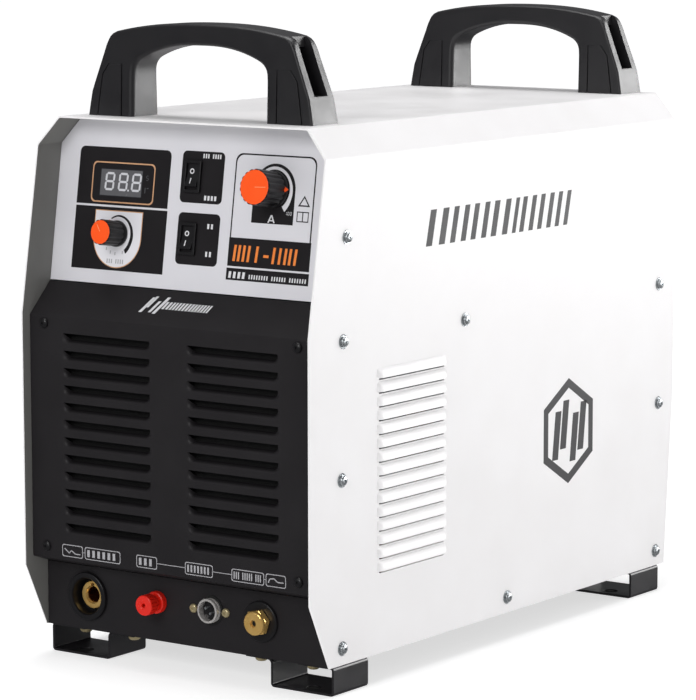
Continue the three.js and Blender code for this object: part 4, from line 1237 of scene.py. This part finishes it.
def build_control_socket():
    at = connector_frame(CONTROL_SOCKET)
    shell = turned([(7.6, -14), (8, -14), (8, 0.2), (9.4, 0.2), (9.75, 0.6), (9.75, 2.0),
                    (9.3, 2.4), (9.3, 2.9), (9.75, 3.3), (9.75, 4.9), (9.4, 5.6), (8.6, 5.9),
                    (8.0, 5.8), (7.65, 5.2), (7.6, -3), (7.6, -14)], 48)
    piece("control_socket_ring", shell, "nickel", at=at, replaces=["control_socket_shell"])
    pins = [moved(turned([(0, 0), (1, 0), (1, 3.8), (0.6, 4.4), (0, 4.5)], 16), u, v, 0.6)
            for u, v in ((-2.2, 1.9), (2.2, -1.9))]
    core = turned([(0, -2.7), (7.3, -2.7), (7.3, 0.9), (6.9, 1.4), (0, 1.5)], 40)
    piece("control_socket_core", core, "black_plastic", at=at, replaces=["control_socket_insert"])
    piece("control_socket_pins", joined(*pins), "zinc", at=at)
    piece("control_socket_gasket", turned([(9.9, 0.05), (11.6, 0.05), (11.6, 0.7), (9.9, 0.7),
                                           (9.9, 0.05)], 40), "rubber", at=at)
    for number, x in enumerate((9.6, 41.1)):
        piece(f"control_socket_screw_{number + 1}", pan_head(3.6, 2.2), "zinc_yellow",
              at=connector_frame((x, 53.8)))


def build_torch_socket():
    at = connector_frame(TORCH_SOCKET)
    flange = turned([(6.4, -10), (8, -10), (8, 0.2), (15.4, 0.2), (15.9, 0.6), (15.9, 1.6),
                     (15.4, 2.3), (14.9, 2.6), (7, 2.6), (6.4, 2.6), (6.4, -10)], 56)
    piece("torch_seat", flange, "black_plastic", at=at, replaces=["torch_flange"])
    bore = turned([(0, -20), (2, -20), (2, 9), (3.0, 11.2), (3.0, 13), (0, 13)], 28)
    solids = [hexagon(10.6, 2.9, 8.2, 0.7, 12),
              turned([(0, 7.9), (9.4, 7.9), (9.4, 9.6), (8.9, 10.4), (7.9, 11), (0, 11)], 48),
              turned([(0, -26), (6, -26), (6, 3.2), (0, 3.2)], 32)]
    piece("torch_nipple", joined(*(less(solid, bore) for solid in solids)), "brass", at=at,
          replaces=["torch_fitting"])
    # a near-black disc deep in the nipple's bore: painted shade for the dark hollow
    piece("torch_nipple_bore_shade", turned([(0, 8.4), (2.05, 8.4), (2.05, 8.8), (0, 8.8)], 28),
          "shade_black", at=at)


# ------------------------------------------------------------------ printing on the body
def build_socket_prints():
    """The row of framed marks over the lead connections, joined by thin lines."""
    at = front_frame(0, LOUVRE_FACE, 0)
    shapes = [ring_of(rounded(u0, u1, 84.1, 93.9, 1.8), 0.6) for u0, u1 in
              ((-108, -87), (-85, -49), (-33, -12.5), (15, 42), (60, 91), (92.5, 111.5))]
    shapes += [box_shape(u0, u1, 88.8, 89.3) for u0, u1 in
               ((-87.2, -84.8), (-12.7, 15.2), (41.8, 60.2), (90.8, 92.7))]
    decal("print_socket_boxes", shapes, "print_grey", 1, at)
    shapes = []
    for u0, u1, groups in ((-82.5, -51.6, (6,)), (-30.4, -15.2, (3,)), (17.2, 39.9, (7,)),
                           (62.0, 89.0, (3, 5, 3))):
        shapes += strokes(u0, u1, 86.2, 91.8, groups, 0, 0.5)
    lead = [(-105.5, 90.6), (-101, 87.2), (-98.6, 89.4), (-94.6, 87.0), (-89.6, 87.0)]
    torch = [(94.8, 87.0), (96.4, 90.0), (100.4, 90.6), (103.6, 88.2), (109.3, 88.2)]
    for line in (lead, torch):
        for (u0, v0), (u1, v1) in zip(line, line[1:]):
            along = Vector((u1 - u0, v1 - v0)).normalized()
            n = Vector((-along.y, along.x)) * 0.42
            shapes.append([[(u0 + n.x, v0 + n.y), (u1 + n.x, v1 + n.y), (u1 - n.x, v1 - n.y),
                            (u0 - n.x, v0 - n.y)]])
    decal("print_socket_marks", shapes, "print_grey", 1, at)


def build_front_mark():
    """A neutral mark of leaning bars on the slope under the control panel."""
    rise, run = UPPER_KINK - 2, LOUVRE_FACE
    along = Vector((SLOPE_TOP[0] - run, SLOPE_TOP[1] - rise)).normalized()
    slope = local_frame((0, run, rise), (1, 0, 0), (0, along.x, along.y), (0, -along.y, along.x))
    bars = [slanted(u, u + width, v0, v1, 0.42 * (v1 - v0)) for u, v0, v1, width in
            ((-35.5, 12.0, 27.0, 3.0), (-31.0, 17.0, 28.2, 2.6), (-26.5, 12.5, 23.8, 2.6),
             (-22.2, 11.5, 28.2, 3.0))]
    u = -15.6
    for width in (6.2, 5.0, 5.2, 5.6, 2.0, 5.0, 4.8, 4.6):
        for part in (0.0, 0.58):
            if part and width < 3:
                continue
            a = u + width * part
            b = a + (width * 0.36 if width > 3 else width * 0.9)
            bars.append(slanted(a, b, 16.6, 23.8, 2.2))
        u += width + 0.9
    decal("print_front_mark", bars, "print_white", 1, slope)


def build_side_prints():
    """A row of leaning bars and a six-sided emblem on each side wall."""
    for side, sign in SIDES.items():
        at = side_frame(sign)
        bars = []
        u = 152.4 if sign > 0 else -370.3
        for width in (31, 27, 27, 29, 10, 25, 25, 24):
            inside = width - 3.6
            for a, b in ([(0, 0.85)] if width < 12 else [(0, 0.3), (0.64, 0.94)]):
                bars.append(slanted(u + inside * a, u + inside * b, 331.5, 359.5, 7.0))
            u += width * 211 / 198
        decal(f"print_side_word_{side}", bars, "print_slate", 1, at)
        centre = 361.5 * sign
        bars = [[polygon(centre, 160, 44, 6, 30), polygon(centre, 160, 36, 6, 30)]]
        for u, v0, v1 in ((-24, 138, 178), (-12, 146, 186), (3, 134, 174), (15, 142, 182)):
            bars.append(slanted(centre + u - 1, centre + u + 8, v0, v1, 5))
        decal(f"print_side_emblem_{side}", bars, "print_slate", 1, at)


# ------------------------------------------------------------------ rear of the machine
# (x, height) of what the rear sheet carries
FAN = (0, 258)
BREAKER = (92, 386)
AIR_INLET = (-92, 92)
CABLE_GLAND = (88, 92)
EARTH_STUD = (0, 62)


def at_rear(place):
    return rear_frame(place[0], REAR_FACE, place[1])


def build_rear():
    edge = [(-INNER_HALF, BODY_FLOOR + 0.3), (INNER_HALF, BODY_FLOOR + 0.3), (INNER_HALF, 406.5),
            (ROOF_HALF, 427.6), (-ROOF_HALF, 427.6), (-INNER_HALF, 406.5)]
    holes = [circle(-x, z, radius, steps) for (x, z), radius, steps in
             ((FAN, 81, 64), (AIR_INLET, 7.2, 24), (CABLE_GLAND, 12.2, 32), (EARTH_STUD, 4.2, 20))]
    holes.append(window(-BREAKER[0], BREAKER[1], 22.5, 17))
    at = rear_frame(0, REAR_FACE, 0)
    piece("rear_sheet", plate([edge, *holes], -SHEET, 0), "black_coat", at=at,
          replaces=["rear_panel"])
    screws = [moved(pan_head(3.6, 2.2), x, z, turn=(23 * x + z, "Z")) for x, z in
              ((-128, 40), (128, 40), (-128, 215), (128, 215), (-128, 396), (128, 396))]
    piece("rear_screws", joined(*screws), "zinc", at=at)

    build_fan_guard()
    build_fan()
    build_breaker()
    build_inlets()


def build_fan_guard():
    fan = at_rear(FAN)
    wires = []
    for radius in (22, 34, 46, 58, 70, 82):
        dome = 3.2 if radius < 80 else 1.4
        wires.append(tube([(radius * math.cos(a), radius * math.sin(a), dome) for a in
                           (2 * math.pi * k / 64 for k in range(64))], 0.95, True, 8))
    for k in range(4):
        a = math.radians(45 + 90 * k)
        c, s = math.cos(a), math.sin(a)
        spoke = [(c * r, s * r, w) for r, w in
                 ((14, 2.0), (20, 1.9), (70, 1.9), (82, 1.3), (92, 1.1), (99.5, 1.1))]
        wires.append(tube(spoke, 1.1, False, 8))
    piece("fan_guard_wire", joined(*wires), "zinc", at=fan, replaces=["fan_guard"])
    eye = joined(washer(2.2, 4.6, 0.1, 1.6), moved(pan_head(3.6, 2.2), z=1.6))
    eyes = [moved(eye, u, v) for u, v in arc(0, 0, 102.5, 45, 405, 4)[:-1]]
    piece("fan_guard_screws", joined(*eyes), "zinc", at=fan)
    piece("fan_guard_badge", turned([(0, 0.9), (15, 0.9), (15.4, 1.6), (14.8, 3.2), (0, 3.6)], 48),
          "black_plastic", at=fan)


def build_fan():
    at = at_rear(FAN)
    back = -SHEET - 0.3
    depth = 38
    outer = rounded(-86, 86, -86, 86, 9)
    duct = circle(0, 0, 82, 96)
    frame_rear = plate([outer, duct], back - 4, back, 0.4)
    frame_front = plate([outer, duct], back - depth, back - depth + 4, 0.4)
    tube_wall = turned([(82, back - 1), (84.4, back - 1), (84.4, back - depth + 1),
                        (82, back - depth + 1), (82, back - 1)], 96)
    motor = turned([(0, back - depth), (26, back - depth), (26, back - depth + 6),
                    (0, back - depth + 6)], 48)
    arms = [block(-83, 83, -4, 4, back - depth, back - depth + 4),
            block(-4, 4, -83, 83, back - depth, back - depth + 4)]
    piece("fan_frame", joined(frame_rear, frame_front, tube_wall, motor, *arms), "black_plastic",
          at=at, replaces=["fan_housing"])
    rear = back - 4.3
    front = back - depth + 12
    hub = turned([(0, front), (31, front), (32, front + 1), (32, rear - 2.5), (31, rear - 0.8),
                  (28.5, rear), (12, rear), (11, rear - 0.6), (0, rear - 0.6)], 64)
    blades = []
    for k in range(7):
        start = 2 * math.pi * k / 7
        rings = []
        for i in range(9):
            t = i / 8
            radius = 31 + (78.8 - 31) * t
            sweep = start - 0.18 * t
            lead = sweep + 0.1 * t
            trail = sweep + 0.66 - 0.12 * t
            ring = []
            for side in (1, -1):
                for j in range(7):
                    share = j / 6 if side > 0 else 1 - j / 6
                    angle = lead + (trail - lead) * share
                    w = front + 3 + 2 * t + (rear - front - 7 - 3 * t) * share
                    w += side * (0.5 + 0.9 * math.sin(math.pi * share)) * (1 - 0.35 * t)
                    ring.append((radius * math.cos(-angle), radius * math.sin(-angle), w))
            rings.append(ring)
        blades.append(lofted(rings))
    piece("fan_blades", joined(hub, *blades), "black_plastic", body="fan_rotor", at=at,
          replaces=["fan_rotor"])


def build_breaker():
    at = at_rear(BREAKER)
    bezel = plate([rounded(-23.4, 23.4, -18.4, 18.4, 2.5), rounded(-10, 10, -14, 14, 1)],
                  0.2, 3.9, 0.6)
    can = less(block(-22, 22, -16.6, 16.6, -50, 0.6), block(-10, 10, -14, 14, -12, 4))
    piece("breaker_case", joined(bezel, can), "black_plastic", at=at, replaces=["breaker_body"])
    profile = [(-6, -5), (5, -6.5), (11, -8.6), (16.5, -10.5), (17.6, -9.4), (17.9, -6.6),
               (17.2, -5.2), (11.5, -2.4), (6, 0.2), (3, 5.5), (-6, 5)]
    lever = lofted([[(u, v, w - 3) for w, v in profile] for u in (-9, 9)])
    piece("breaker_toggle", bevelled(lever, 0.6, 2, 35), "black_plastic", body="breaker_lever",
          at=at, replaces=["breaker_lever"])
    marks = [[circle(0, 22.6, 1.9, 24), circle(0, 22.6, 1.1, 24)],
             box_shape(-0.45, 0.45, -24.6, -20.8)]
    decal("print_breaker_marks", marks, "print_pale", 1, at)


def build_inlets():
    at = at_rear(AIR_INLET)
    profile = [(2.8, -10), (7, -10), (7, 0.3), (10, 0.3), (10, 1.2), (9.3, 9), (5, 9), (5, 11),
               (6.6, 11.7), (5, 17), (5, 17.5), (6.6, 18.2), (5, 23.5), (5, 24), (6.2, 24.6),
               (4.4, 27.8), (2.8, 27.9), (2.8, -10)]
    piece("air_barb", joined(turned(profile, 40), hexagon(11.4, 0.3, 7, 0.6)), "brass", at=at,
          replaces=["air_inlet"])

    at = at_rear(CABLE_GLAND)
    stem = turned([(8, -10), (12, -10), (12, 0.3), (15, 0.3), (15, 5.4), (14.4, 6), (12.6, 6),
                   (12.6, 11.9), (8, 11.9), (8, -10)], 48)
    piece("gland_stem", stem, "black_plastic", at=at, replaces=["cable_gland"])
    hex_part = hexagon(16.6, 6.4, 13, 0.8)
    bore = turned([(0, 0), (12.9, 0), (12.9, 13), (7.6, 16), (7.6, 30), (0, 30)], 40)
    dome = turned([(0, 12), (14, 12), (13.7, 15), (12.9, 18), (11.6, 20.2), (9.5, 21.4),
                   (0, 21.4)], 48)
    piece("gland_cap", joined(less(hex_part, bore), less(dome, bore)), "black_plastic", at=at,
          replaces=["gland_nut"])

    at = at_rear(EARTH_STUD)
    threads = [(0, -12), (4, -12), (4, 0.3), (9, 0.3), (9, 1.8), (4, 2)]
    for k in range(14):
        w = 8.2 + 0.72 * k
        threads += [(3.95, w), (3.5, w + 0.36)]
    threads += [(3.2, 18.8), (0, 19)]
    piece("earth_bolt", joined(turned(threads, 28), hexagon(7.5, 2, 8, 0.6)), "zinc", at=at,
          replaces=["earth_stud"])


# ------------------------------------------------------------------ pieces kept from the CAD model
KEPT = {
    "base_pan": "black_coat", "current_shaft": "steel", "gas_flow_shaft": "steel",
    "current_potentiometer": "steel", "gas_flow_potentiometer": "steel",
    "display_module": "black_plastic", "control_board": "circuit", "power_board": "circuit",
    "capacitor_1": "sleeve", "capacitor_2": "sleeve", "capacitor_3": "sleeve",
    "capacitor_4": "sleeve", "heatsink_left": "aluminium", "heatsink_right": "aluminium",
    "transformer_core": "ferrite", "transformer_winding": "copper", "choke": "copper",
    "gas_valve": "brass", "gas_hose": "hose",
}


def dress_kept_nodes():
    for name, mat in KEPT.items():
        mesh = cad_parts[name].data
        mesh.materials.clear()
        mesh.materials.append(M[mat])


def build():
    build_cover()
    build_cover_screws()
    build_louvre_panel()
    build_connector_panel()
    build_handles()
    build_feet()
    build_control_panel()
    build_controls()
    build_earth_socket()
    build_pilot_post()
    build_control_socket()
    build_torch_socket()
    build_socket_prints()
    build_front_mark()
    build_side_prints()
    build_rear()
    dress_kept_nodes()
    build_camera()
    build_lights()
    build_floor()


build()
